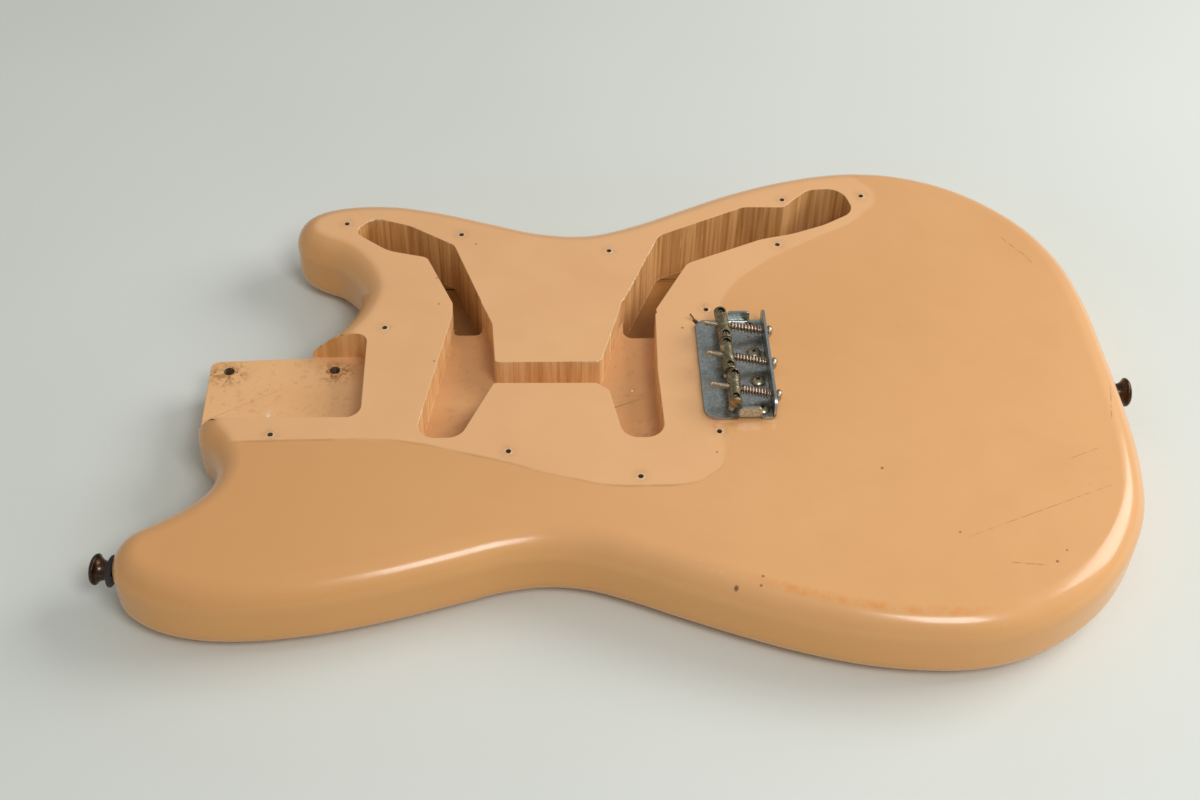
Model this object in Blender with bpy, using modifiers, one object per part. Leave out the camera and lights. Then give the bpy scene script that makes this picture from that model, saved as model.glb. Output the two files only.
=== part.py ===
# Short-scale solid-body guitar, stripped for refinishing or storage:
# one-piece body with its routed cavities, three-saddle bridge, strap buttons
# and the bridge ground wire. Metres, +Z up, the body lies on its back.
#
# Design coordinates are millimetres measured from the end wall of the neck
# pocket: +x to the tail, y = 0 on the neck and bridge centre line, +y to the
# treble side, z = 0 on the body's underside.
import math

import bmesh
import bpy
import numpy as np
from mathutils import Matrix, Vector

MM = 0.001

# ---------------------------------------------------------------- dimensions
ORIGIN_X, ORIGIN_Y = 126.63, 1.15     # row origin in design coordinates
BODY_T = 38.1                         # body thickness, 1 1/2 in
EDGE_R = 12.7                         # edge round-over, 1/2 in
POCKET_DEPTH = 15.9                   # neck pocket, 5/8 in
SHALLOW = 15.9                        # pickup cavities and wiring channel
DEEP = 30.2                           # switch and control cavities, 1 3/16 in
POCKET_END_HALF, POCKET_MOUTH_HALF = 27.55, 26.1
HEEL_X = -75.6                        # front face of the neck heel
NECK_HOLE_R = 2.4
NECK_HOLES = [(-66.6, 19.0), (-16.2, 19.0), (-66.6, -19.0), (-16.2, -19.0)]
PILOT_R, PILOT_DEPTH = 1.15, 12.0
PILOTS = [(-15.1, 109.2), (43.3, 99.8), (117.7, 86.3), (8.1, 31.6),
          (-39.6, -37.8), (67.5, -50.0), (126.0, -66.1), (209.6, 125.6),
          (203.4, 89.9), (251.4, 128.2), (163.3, 41.9), (163.1, -39.5)]

# Outline stations, counter-clockwise from the heel's treble corner round the
# tail and back. The heel's straight sides join the first and last station.
OUTLINE = [(-29.0, 27.4), (-22.6, 28.8), (-18.2, 32.4), (-14.2, 37.2),
           (-8.3, 47.5), (-5.0, 61.0), (-9.3, 74.5),
           (-19.0, 86.2), (-30.6, 92.4), (-38.4, 99.2), (-41.2, 108.4),
           (-38.6, 118.2), (-30.2, 125.6), (-14.0, 130.2), (10.0, 130.2),
           (36.0, 124.0), (60.0, 115.6), (84.0, 107.6), (107.0, 105.8),
           (130.0, 113.0), (155.0, 125.2), (180.0, 137.4), (205.0, 146.8),
           (231.0, 153.2), (253.0, 154.9), (276.0, 151.6), (300.0, 141.6),
           (321.0, 125.4), (338.0, 104.2), (349.2, 77.8), (354.2, 47.5),
           (355.6, 16.0), (356.3, -20.0), (355.2, -52.0), (350.2, -81.5),
           (339.8, -104.0), (324.8, -123.4), (306.0, -138.2), (286.0, -147.8),
           (265.0, -152.3), (244.0, -152.3), (217.0, -148.6), (190.0, -141.2),
           (165.0, -132.0), (140.0, -121.6), (118.0, -112.0), (101.0, -106.2),
           (84.0, -104.3), (66.0, -106.6), (44.0, -113.2), (14.0, -121.8),
           (-15.0, -128.0), (-44.0, -130.9), (-66.0, -129.6), (-84.0, -124.4),
           (-96.0, -116.3), (-100.2, -110.0), (-102.4, -105.2), (-102.6, -99.9),
           (-100.6, -94.8), (-97.3, -90.9), (-93.0, -87.5),
           (-84.0, -81.9), (-73.6, -74.3), (-65.4, -64.2), (-63.2, -53.4),
           (-67.0, -42.4), (-73.2, -33.6), (-75.6, -22.0)]

# Bridge, heights above the body's top
PLATE_X0, PLATE_X1 = 157.2, 189.7
PLATE_HALF, SHEET_T = 32.6, 1.2
REST_GAP = 0.3
WALL_H, TAB_H = 10.8, 7.4
TAB_X0, TAB_X1 = 172.4, 183.2
HINGE_X, HOLE_H = 189.1, 5.3
BARREL_R, BARREL_L = 3.0, 20.0
BARREL_H = 9.0
SADDLES = {      # centre x, hole y, plan turn of the screw and of the barrel, degrees
    "treble": (169.1, 20.62, 0.8, -3.8),
    "middle": (169.7, -1.08, 3.2, -1.9),
    "bass": (170.9, -22.05, 3.6, 2.6),
}
SCREW_R, SCREW_TIP_X = 1.35, 159.8
HEAD_R, HEAD_H = 2.9, 2.3
SPRING_R, SPRING_WIRE, SPRING_TURNS = 1.95, 0.38, 10
HEIGHT_R, HEIGHT_L, HEIGHT_Y = 1.4, 9.2, 7.5
TIP_GAP = 0.4
MOUNT_SCREWS = [(183.4, 27.6), (183.4, 9.3), (183.5, -9.2), (183.8, -27.4)]

# Strap buttons: foot of the axis on the body's side, and direction
STRAP_Z = 19.0
STRAPS = {"front": (-102.8, -99.8, -0.985, 0.174), "tail": (356.25, 0.3, 0.9995, 0.03)}

# ------------------------------------------------------------------- scene
for old in list(bpy.data.objects):
    bpy.data.objects.remove(old, do_unlink=True)

parts = bpy.data.collections.new("solid_body_guitar")
cutters = bpy.data.collections.new("cutters")
bpy.context.scene.collection.children.link(parts)
bpy.context.scene.collection.children.link(cutters)


def material(name, colour, rough, metal=0.0):
    m = bpy.data.materials.new(name)
    m.use_nodes = True
    b = m.node_tree.nodes["Principled BSDF"]
    b.inputs["Base Color"].default_value = (*colour, 1)
    b.inputs["Roughness"].default_value = rough
    b.inputs["Metallic"].default_value = metal
    return m


PAINT = material("tan_lacquer", (0.73, 0.41, 0.20), 0.25)
PLATE_MAT = material("dull_zinc_plate", (0.55, 0.56, 0.53), 0.4, 1.0)
BARREL_MAT = material("aged_brass", (0.36, 0.29, 0.18), 0.45, 1.0)
SCREW_MAT = material("worn_nickel", (0.62, 0.55, 0.45), 0.3, 1.0)
SPRING_MAT = material("spring_steel", (0.58, 0.50, 0.42), 0.3, 1.0)
BRONZE_MAT = material("dark_bronze", (0.06, 0.04, 0.03), 0.35, 1.0)
FELT_MAT = material("black_felt", (0.012, 0.011, 0.010), 0.95)
WIRE_MAT = material("tinned_wire", (0.25, 0.22, 0.19), 0.5, 1.0)


def P(x, y, z=0.0):
    """Design millimetres to row metres."""
    return Vector(((x - ORIGIN_X) * MM, (y - ORIGIN_Y) * MM, z * MM))


def add(name, mesh, mat, where=parts):
    o = bpy.data.objects.new(name, mesh)
    where.objects.link(o)
    if mat:
        o.data.materials.append(mat)
    if where is cutters:
        o.hide_render = True
        o.display_type = "WIRE"
    return o


def curve_mesh(curve, name):
    """Evaluate a curve object to a welded mesh and drop the curve."""
    bpy.context.view_layer.update()
    dg = bpy.context.evaluated_depsgraph_get()
    mesh = bpy.data.meshes.new_from_object(curve.evaluated_get(dg))
    mesh.name = name
    bm = bmesh.new()
    bm.from_mesh(mesh)
    bmesh.ops.remove_doubles(bm, verts=bm.verts, dist=1e-6)
    bmesh.ops.recalc_face_normals(bm, faces=bm.faces)
    bm.to_mesh(mesh)
    bm.free()
    mesh.transform(curve.matrix_world)
    bpy.data.objects.remove(curve, do_unlink=True)
    return mesh


def slab(name, outline, z0, z1, caps_whole=False):
    """Closed slab between two heights from a flat outline in millimetres."""
    cu = bpy.data.curves.new(name, "CURVE")
    cu.dimensions = "2D"
    cu.fill_mode = "BOTH"
    cu.extrude = (z1 - z0) / 2 * MM
    sp = cu.splines.new("POLY")
    sp.points.add(len(outline) - 1)
    for q, (x, y) in zip(sp.points, outline):
        q.co = (x * MM, y * MM, 0, 1)
    sp.use_cyclic_u = True
    ob = bpy.data.objects.new(name, cu)
    ob.location = (0, 0, (z0 + z1) / 2 * MM)
    bpy.context.scene.collection.objects.link(ob)
    mesh = curve_mesh(ob, name)
    if caps_whole:
        bm = bmesh.new()
        bm.from_mesh(mesh)
        inner = [e for e in bm.edges if len(e.link_faces) == 2
                 and all(abs(f.normal.z) > 0.9 for f in e.link_faces)]
        bmesh.ops.dissolve_edges(bm, edges=inner, use_verts=False)
        bm.to_mesh(mesh)
        bm.free()
    return mesh


def rounded(corners, step=15):
    """Polygon with each corner (x, y, radius) replaced by an arc."""
    out = []
    n = len(corners)
    for i, (x, y, r) in enumerate(corners):
        p = np.array([x, y], float)
        a = np.array(corners[i - 1][:2], float) - p
        b = np.array(corners[(i + 1) % n][:2], float) - p
        la, lb = np.linalg.norm(a), np.linalg.norm(b)
        a, b = a / la, b / lb
        half = math.acos(max(-1, min(1, float(a @ b)))) / 2
        if r <= 0 or half > math.radians(88):
            out.append((x, y))
            continue
        t = min(r / math.tan(half), 0.49 * la, 0.49 * lb)
        r = t * math.tan(half)
        c = p + (a + b) / np.linalg.norm(a + b) * (r / math.sin(half))
        s, e = p + a * t - c, p + b * t - c
        a0 = math.atan2(s[1], s[0])
        d = math.atan2(s[0] * e[1] - s[1] * e[0], float(s @ e))
        k = max(1, round(abs(math.degrees(d)) / step))
        for j in range(k + 1):
            w = a0 + d * j / k
            out.append((c[0] + r * math.cos(w), c[1] + r * math.sin(w)))
    return out


def ease(pts, radius=EDGE_R + 1.6, step=1.2, rounds=1500):
    """Even out the path and open every convex bend to the given radius, so
    that the round-over has room inside it."""
    a = np.array(pts)
    s = np.concatenate(([0], np.cumsum(np.linalg.norm(np.diff(a, axis=0), axis=1))))
    t = np.linspace(0, s[-1], int(s[-1] / step) + 1)
    a = np.column_stack([np.interp(t, s, a[:, i]) for i in range(2)])
    for _ in range(rounds):
        u, v = a[1:-1] - a[:-2], a[2:] - a[1:-1]
        turn = np.arctan2(u[:, 1] * v[:, 0] - u[:, 0] * v[:, 1], (u * v).sum(1))
        tight = (np.linalg.norm(u, axis=1) + np.linalg.norm(v, axis=1)) / 2 / np.maximum(turn, 1e-9) < radius
        if not tight.any():
            break
        wide = tight.copy()
        wide[1:] |= tight[:-1]
        wide[:-1] |= tight[1:]
        a[1:-1][wide] += 0.3 * ((a[:-2] + a[2:]) / 2 - a[1:-1])[wide]
    return list(a)


def smooth_path(stations, turn=8.0, reach=15.0, dense=30):
    """Centripetal Catmull-Rom through the stations, thinned by curvature."""
    q = [np.array(s, float) for s in stations]
    q = [2 * q[0] - q[1]] + q + [2 * q[-1] - q[-2]]
    pts = []
    for i in range(1, len(q) - 2):
        p0, p1, p2, p3 = q[i - 1:i + 3]
        t = [0.0]
        for u, v in ((p0, p1), (p1, p2), (p2, p3)):
            t.append(t[-1] + math.sqrt(np.linalg.norm(v - u)))
        for k in range(dense):
            s = t[1] + (t[2] - t[1]) * k / dense
            a1 = (t[1] - s) / (t[1] - t[0]) * p0 + (s - t[0]) / (t[1] - t[0]) * p1
            a2 = (t[2] - s) / (t[2] - t[1]) * p1 + (s - t[1]) / (t[2] - t[1]) * p2
            a3 = (t[3] - s) / (t[3] - t[2]) * p2 + (s - t[2]) / (t[3] - t[2]) * p3
            b1 = (t[2] - s) / (t[2] - t[0]) * a1 + (s - t[0]) / (t[2] - t[0]) * a2
            b2 = (t[3] - s) / (t[3] - t[1]) * a2 + (s - t[1]) / (t[3] - t[1]) * a3
            pts.append((t[2] - s) / (t[2] - t[1]) * b1 + (s - t[1]) / (t[2] - t[1]) * b2)
    pts.append(q[-2])
    pts = ease(pts)
    keep, turned, gone = [pts[0]], 0.0, 0.0
    for i in range(1, len(pts) - 1):
        u, v = pts[i] - pts[i - 1], pts[i + 1] - pts[i]
        turned += abs(math.degrees(math.atan2(u[0] * v[1] - u[1] * v[0], float(u @ v))))
        gone += np.linalg.norm(u)
        if turned >= turn or gone >= reach:
            keep.append(pts[i])
            turned = gone = 0.0
    keep.append(pts[-1])
    return [(float(a), float(b)) for a, b in keep]


def shift(outline):
    return [(x - ORIGIN_X, y - ORIGIN_Y) for x, y in outline]


def cut(target, tool, how="DIFFERENCE"):
    m = target.modifiers.new(tool.name, "BOOLEAN")
    m.operation = how
    m.object = tool
    m.solver = "EXACT"


def rod_mesh(name, radius, length, sides, radius2=None):
    """Cylinder or cone along +Z, its base at z = 0."""
    bm = bmesh.new()
    bmesh.ops.create_cone(bm, cap_ends=True, segments=sides, radius1=radius * MM,
                          radius2=(radius if radius2 is None else radius2) * MM,
                          depth=length * MM)
    bmesh.ops.translate(bm, verts=bm.verts, vec=(0, 0, length / 2 * MM))
    mesh = bpy.data.meshes.new(name)
    bm.to_mesh(mesh)
    bm.free()
    return mesh


def box_mesh(name, size, centre=(0, 0, 0)):
    bm = bmesh.new()
    bmesh.ops.create_cube(bm, size=1)
    bmesh.ops.scale(bm, verts=bm.verts, vec=[s * MM for s in size])
    bmesh.ops.translate(bm, verts=bm.verts, vec=[c * MM for c in centre])
    mesh = bpy.data.meshes.new(name)
    bm.to_mesh(mesh)
    bm.free()
    return mesh


def turned(name, profile, mat, steps=24, closed=False, where=parts):
    """Turned solid about local Z from a profile (radius, z), top to bottom."""
    mesh = bpy.data.meshes.new(name)
    n = len(profile)
    edges = [(i, i + 1) for i in range(n - 1)] + ([(n - 1, 0)] if closed else [])
    mesh.from_pydata([(r * MM, 0, z * MM) for r, z in profile], edges, [])
    o = add(name, mesh, mat, where)
    s = o.modifiers.new("turn", "SCREW")
    s.axis = "Z"
    s.angle = 2 * math.pi
    s.steps = s.render_steps = steps
    s.use_merge_vertices = True
    s.merge_threshold = 1e-6
    s.use_smooth_shade = True
    return o


def arc(cx, cz, r, a0, a1, k):
    """Points on an arc in the (radius, z) plane, angles in degrees."""
    return [(cx + r * math.cos(math.radians(a0 + (a1 - a0) * i / k)),
             cz + r * math.sin(math.radians(a0 + (a1 - a0) * i / k)))
            for i in range(k + 1)]


def smooth(o, angle=35):
    o.data.shade_smooth()
    o.data.set_sharp_from_angle(angle=math.radians(angle))


def place(o, frame):
    o.matrix_world = frame


def frame_at(origin, x_axis, z_hint):
    """Right-handed frame with local X on x_axis and local Z near z_hint."""
    x = Vector(x_axis).normalized()
    y = Vector(z_hint).cross(x).normalized()
    z = x.cross(y)
    m = Matrix((x, y, z)).transposed().to_4x4()
    m.translation = origin
    return m


# -------------------------------------------------------------------- body
curve_part = smooth_path(OUTLINE, turn=9.0, reach=17.0)
heel = [(HEEL_X, 25.6)]               # sharp here, rounded by heel_corner below
outline = curve_part + heel
body = add("body", slab("body", shift(outline), 0, BODY_T, caps_whole=True), PAINT)
# only the two outer rims carry the round-over, not the vertical heel corner
weight = body.data.attributes.new("bevel_weight_edge", "FLOAT", "EDGE")
bm = bmesh.new()
bm.from_mesh(body.data)
bm.edges.ensure_lookup_table()
for e in bm.edges:
    flat = [abs(f.normal.z) > 0.9 for f in e.link_faces]
    weight.data[e.index].value = 1.0 if any(flat) and not all(flat) else 0.0
bm.free()
edge = body.modifiers.new("round_over", "BEVEL")
edge.width = EDGE_R * MM
edge.segments = 4
edge.limit_method = "WEIGHT"
edge.use_clamp_overlap = False

TOP = BODY_T


def cutter(name, outline_mm, z0, z1):
    return add(name, slab(name, shift(outline_mm), z0, z1), None, cutters)


# neck pocket, open at the heel and on its treble side
cut(body, cutter("cut_pocket", rounded([
    (-95, -POCKET_MOUTH_HALF, 0), (0, -POCKET_END_HALF, 7.0), (0, POCKET_END_HALF, 5.5),
    (-95, POCKET_END_HALF + 0.3, 0)]), TOP - POCKET_DEPTH, TOP + 5))

# shallow neck-pickup cavity, wiring channel and bridge-pickup cavity in one rout
cut(body, cutter("cut_shallow", rounded([
    (24.8, -41.5, 8.5), (45.5, -41.0, 8.5), (60.6, -6.7, 2.0), (108.3, -7.4, 2.5),
    (114.1, -11.8, 5.0), (119.8, -42.4, 8.5), (138.6, -42.4, 8.5), (137.3, 0.0, 60.0),
    (138.4, 38.0, 9.0), (138.4, 52.5, 7.0), (123.6, 52.5, 7.0), (119.6, 36.4, 6.0),
    (111.0, 6.6, 3.5), (61.0, 6.9, 2.0), (59.4, 33.8, 9.0), (52.8, 52.0, 6.2),
    (40.2, 52.0, 6.2), (40.0, 38.4, 4.0)]), TOP - SHALLOW, TOP + 5))

# deep switch slot in the treble horn
cut(body, cutter("cut_switch", rounded([
    (40.1, 42.2, 6.4), (54.2, 42.2, 6.4), (53.8, 50.0, 4.0), (39.8, 91.6, 4.0),
    (17.0, 107.0, 20.0), (-1.5, 113.6, 6.5), (-11.5, 103.0, 5.0), (6.8, 88.0, 20.0),
    (26.6, 82.6, 5.0), (40.2, 48.5, 3.0)]), TOP - DEEP, TOP + 6))

# deep control cavity with its wider end for the jack
cut(body, cutter("cut_control", rounded([
    (123.4, 38.9, 7.8), (139.4, 38.9, 7.8), (138.9, 42.5, 2.0), (156.5, 76.2, 8.0),
    (195.5, 94.2, 30.0), (212.0, 98.2, 25.0), (229.0, 105.0, 30.0), (246.2, 115.5, 9.0), (241.5, 134.6, 11.0),
    (224.0, 133.6, 12.0), (209.6, 119.4, 4.0), (189.0, 119.8, 8.0), (143.4, 97.5, 7.0),
    (123.6, 48.9, 4.0)]), TOP - DEEP, TOP + 7))

# heel's treble front corner, rounded in plan
cut(body, cutter("cut_heel_corner", [
    (HEEL_X - 1, 26.8), (HEEL_X - 1, 21.6)] + [
    (HEEL_X + 4 - 4 * math.cos(math.radians(a)), 21.6 + 4 * math.sin(math.radians(a)))
    for a in range(0, 91, 15)] + [(HEEL_X + 4, 26.8)], -1, TOP + 1))


def drill(name, x, y, z0, z1, r, sides=12):
    o = add(name, rod_mesh(name, r, z1 - z0, sides), None, cutters)
    o.location = P(x, y, z0)
    return o


holes = [(f"cut_neck_{i}", x, y, -1, TOP - POCKET_DEPTH + 1, NECK_HOLE_R, 12)
         for i, (x, y) in enumerate(NECK_HOLES)]
holes += [(f"cut_pilot_{i}", x, y, TOP - PILOT_DEPTH, TOP + 1, PILOT_R, 8)
          for i, (x, y) in enumerate(PILOTS)]
holes += [(f"cut_mount_{i}", x, y, TOP - 17.5, TOP + 1, 1.75, 10)
          for i, (x, y) in enumerate(MOUNT_SCREWS)]
for h in holes:
    cut(body, drill(*h))

# ground-wire hole from under the bridge to the cavities, and the groove
# pressed by the wire towards the plate's clipped corner
WIRE_HOLE = (P(166.5, 22.0, TOP + 1.2), P(137.0, 40.5, TOP - 13.0))
d = WIRE_HOLE[1] - WIRE_HOLE[0]
o = add("cut_wire_hole", rod_mesh("cut_wire_hole", 1.5, d.length / MM, 10), None, cutters)
place(o, frame_at(WIRE_HOLE[0], d.orthogonal(), d))
cut(body, o)
GROOVE = (P(163.9, 23.6, TOP), P(156.9, 34.4, TOP))
d = GROOVE[1] - GROOVE[0]
o = add("cut_wire_groove", rod_mesh("cut_wire_groove", 1.0, d.length / MM, 8), None, cutters)
place(o, frame_at(GROOVE[0], d.orthogonal(), d))
cut(body, o)

# strap-screw pilot holes in the sides
for key, (x, y, ax, ay) in STRAPS.items():
    o = add(f"cut_strap_{key}", rod_mesh(f"cut_strap_{key}", 2.3, 27, 12), None, cutters)
    a = Vector((ax, ay, 0)).normalized()
    place(o, frame_at(P(x, y, STRAP_Z) - a * 22 * MM, Vector((0, 0, 1)), a))
    cut(body, o)
smooth(body)

# -------------------------------------------------------------- bridge plate
Z0 = TOP + REST_GAP                   # underside of the plate
Z1 = Z0 + SHEET_T
R_IN = 0.8                            # inside bend radius


def section(name, profile, y0, y1, mat=None, where=parts, axis="Y"):
    """Extrude an (x, z) profile along Y, or a (y, z) profile along X."""
    half = (y1 - y0) / 2
    mesh = slab(name, profile, -half, half)
    if axis == "Y":                   # (x, z) drawn in XY: stand it up, along -Y
        m = Matrix(((1, 0, 0, 0), (0, 0, -1, 0), (0, 1, 0, 0), (0, 0, 0, 1)))
        loc = Vector((0, (y0 + half) * MM, 0))
    else:                             # (y, z) drawn in XY: local x to Y, y to Z
        m = Matrix(((0, 0, 1, 0), (1, 0, 0, 0), (0, 1, 0, 0), (0, 0, 0, 1)))
        loc = Vector(((y0 + half) * MM, 0, 0))
    mesh.transform(Matrix.Translation(loc) @ m)
    return add(name, mesh, mat, where)


def bend(x0, x1, height):
    """Profile of a flat strip that turns up at x1."""
    t = SHEET_T
    s = 1 if x1 > x0 else -1
    ro, ri = R_IN + t, R_IN
    pts = [(x0, Z0)]
    pts += [(x1 - s * ro + s * ro * math.sin(a), Z0 + ro - ro * math.cos(a))
            for a in np.radians(np.linspace(0, 90, 6))]
    pts += [(x1, TOP + height), (x1 - s * t, TOP + height)]
    pts += [(x1 - s * ro + s * ri * math.sin(a), Z0 + ro - ri * math.cos(a))
            for a in np.radians(np.linspace(90, 0, 4))]
    pts += [(x0, Z1)]
    return pts


prof = [(x - ORIGIN_X, z) for x, z in bend(PLATE_X0, PLATE_X1, WALL_H)]
plate = section("bridge_plate", prof, -PLATE_HALF - ORIGIN_Y, PLATE_HALF - ORIGIN_Y, PLATE_MAT)
for key, s in (("treble", 1), ("bass", -1)):
    prof = [(y - ORIGIN_Y, z) for y, z in bend(s * 25.0, s * (PLATE_HALF + 0.0), TAB_H)]
    tab = section(f"tool_tab_{key}", prof, TAB_X0 - ORIGIN_X, TAB_X1 - ORIGIN_X,
                  None, cutters, "X")
    # round the tab's top corners before it joins the plate
    for i, (x, d) in enumerate(((TAB_X0, -1), (TAB_X1, 1))):
        r = 1.8
        c = (x - d * r - ORIGIN_X, TOP + TAB_H - r)
        tool = [(c[0] + d * r * math.cos(w), c[1] + r * math.sin(w))
                for w in np.radians(np.linspace(0, 90, 6))]
        tool += [(c[0], c[1] + r + 1), (c[0] + d * (r + 1), c[1] + r + 1), (c[0] + d * (r + 1), c[1])]
        y = s * PLATE_HALF - ORIGIN_Y
        k = section(f"cut_tab_{key}_{i}", tool, y - 3, y + 3, None, cutters)
        cut(tab, k)
    # clear the plate's edge where the bend starts, then add the bent tab
    slot = add(f"cut_under_tab_{key}", box_mesh(f"cut_under_tab_{key}",
               (TAB_X1 - TAB_X0, 6.0, 4.0)), None, cutters)
    slot.location = P((TAB_X0 + TAB_X1) / 2, s * (PLATE_HALF + 1.0), Z0 + 0.6)
    cut(plate, slot)
    cut(plate, tab, "UNION")
# plan corners of the flat plate: bass front rounded, treble front clipped
r = 6.0
tool = [(PLATE_X0 + r - r * math.cos(w), -PLATE_HALF + r - r * math.sin(w))
        for w in np.radians(np.linspace(0, 90, 8))]
tool += [(PLATE_X0 + r, -PLATE_HALF - 1), (PLATE_X0 - 1, -PLATE_HALF - 1), (PLATE_X0 - 1, -PLATE_HALF + r)]
cut(plate, cutter("cut_plate_bass", tool, Z0 - 1, Z1 + 1))
cut(plate, cutter("cut_plate_treble", [
    (PLATE_X0 - 1, PLATE_HALF - 3.0), (PLATE_X0 + 0.15, PLATE_HALF - 3.0),
    (PLATE_X0 + 3.1, PLATE_HALF - 0.15), (PLATE_X0 + 3.1, PLATE_HALF + 1),
    (PLATE_X0 - 1, PLATE_HALF + 1)], Z0 - 1, Z1 + 1))
# rounded top corners of the back wall
for i, s in enumerate((1, -1)):
    r = 5.0
    c = (s * (PLATE_HALF - r) - ORIGIN_Y, TOP + WALL_H - r)
    tool = [(c[0] + s * r * math.cos(w), c[1] + r * math.sin(w))
            for w in np.radians(np.linspace(0, 90, 9))]
    tool += [(c[0], c[1] + r + 1), (c[0] + s * (r + 1), c[1] + r + 1), (c[0] + s * (r + 1), c[1])]
    cut(plate, section(f"cut_wall_{i}", tool, PLATE_X1 - 4 - ORIGIN_X, PLATE_X1 + 2 - ORIGIN_X,
                       None, cutters, "X"))
for i, (x, y) in enumerate(MOUNT_SCREWS):
    cut(plate, drill(f"cut_plate_screw_{i}", x, y, Z0 - 1, Z1 + 1, 1.9, 12))
for key, (x, y, skew, lean) in SADDLES.items():
    k = add(f"cut_wall_hole_{key}", rod_mesh(f"cut_wall_hole_{key}", 2.0, 8, 16), None, cutters)
    place(k, frame_at(P(PLATE_X1 - 5, y, TOP + HOLE_H), Vector((0, 0, 1)), Vector((1, 0, 0))))
    cut(plate, k)
smooth(plate)

# -------------------------------------------------- mounting screws of the plate
for i, (x, y) in enumerate(MOUNT_SCREWS):
    top = [(0.0, 1.45), (1.2, 1.38), (2.2, 1.12), (3.0, 0.62), (3.45, 0.12), (3.45, 0.0)]
    shank = [(1.3, 0.0), (1.3, -15.0), (0.55, -16.6), (0.0, -16.9)]
    s = turned(f"bridge_screw_{i + 1}", top + shank, SCREW_MAT, 18)
    s.location = P(x, y, Z1 + 0.3)
    for j in range(2):
        k = add(f"cut_cross_{i}_{j}", box_mesh(f"cut_cross_{i}_{j}", (3.4, 0.8, 1.6),
                                               (0, 0, 1.3)), None, cutters)
        k.location = s.location
        k.rotation_euler = (0, 0, math.radians((20, 65, 47, 12)[i] + 90 * j))
        cut(s, k)

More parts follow.
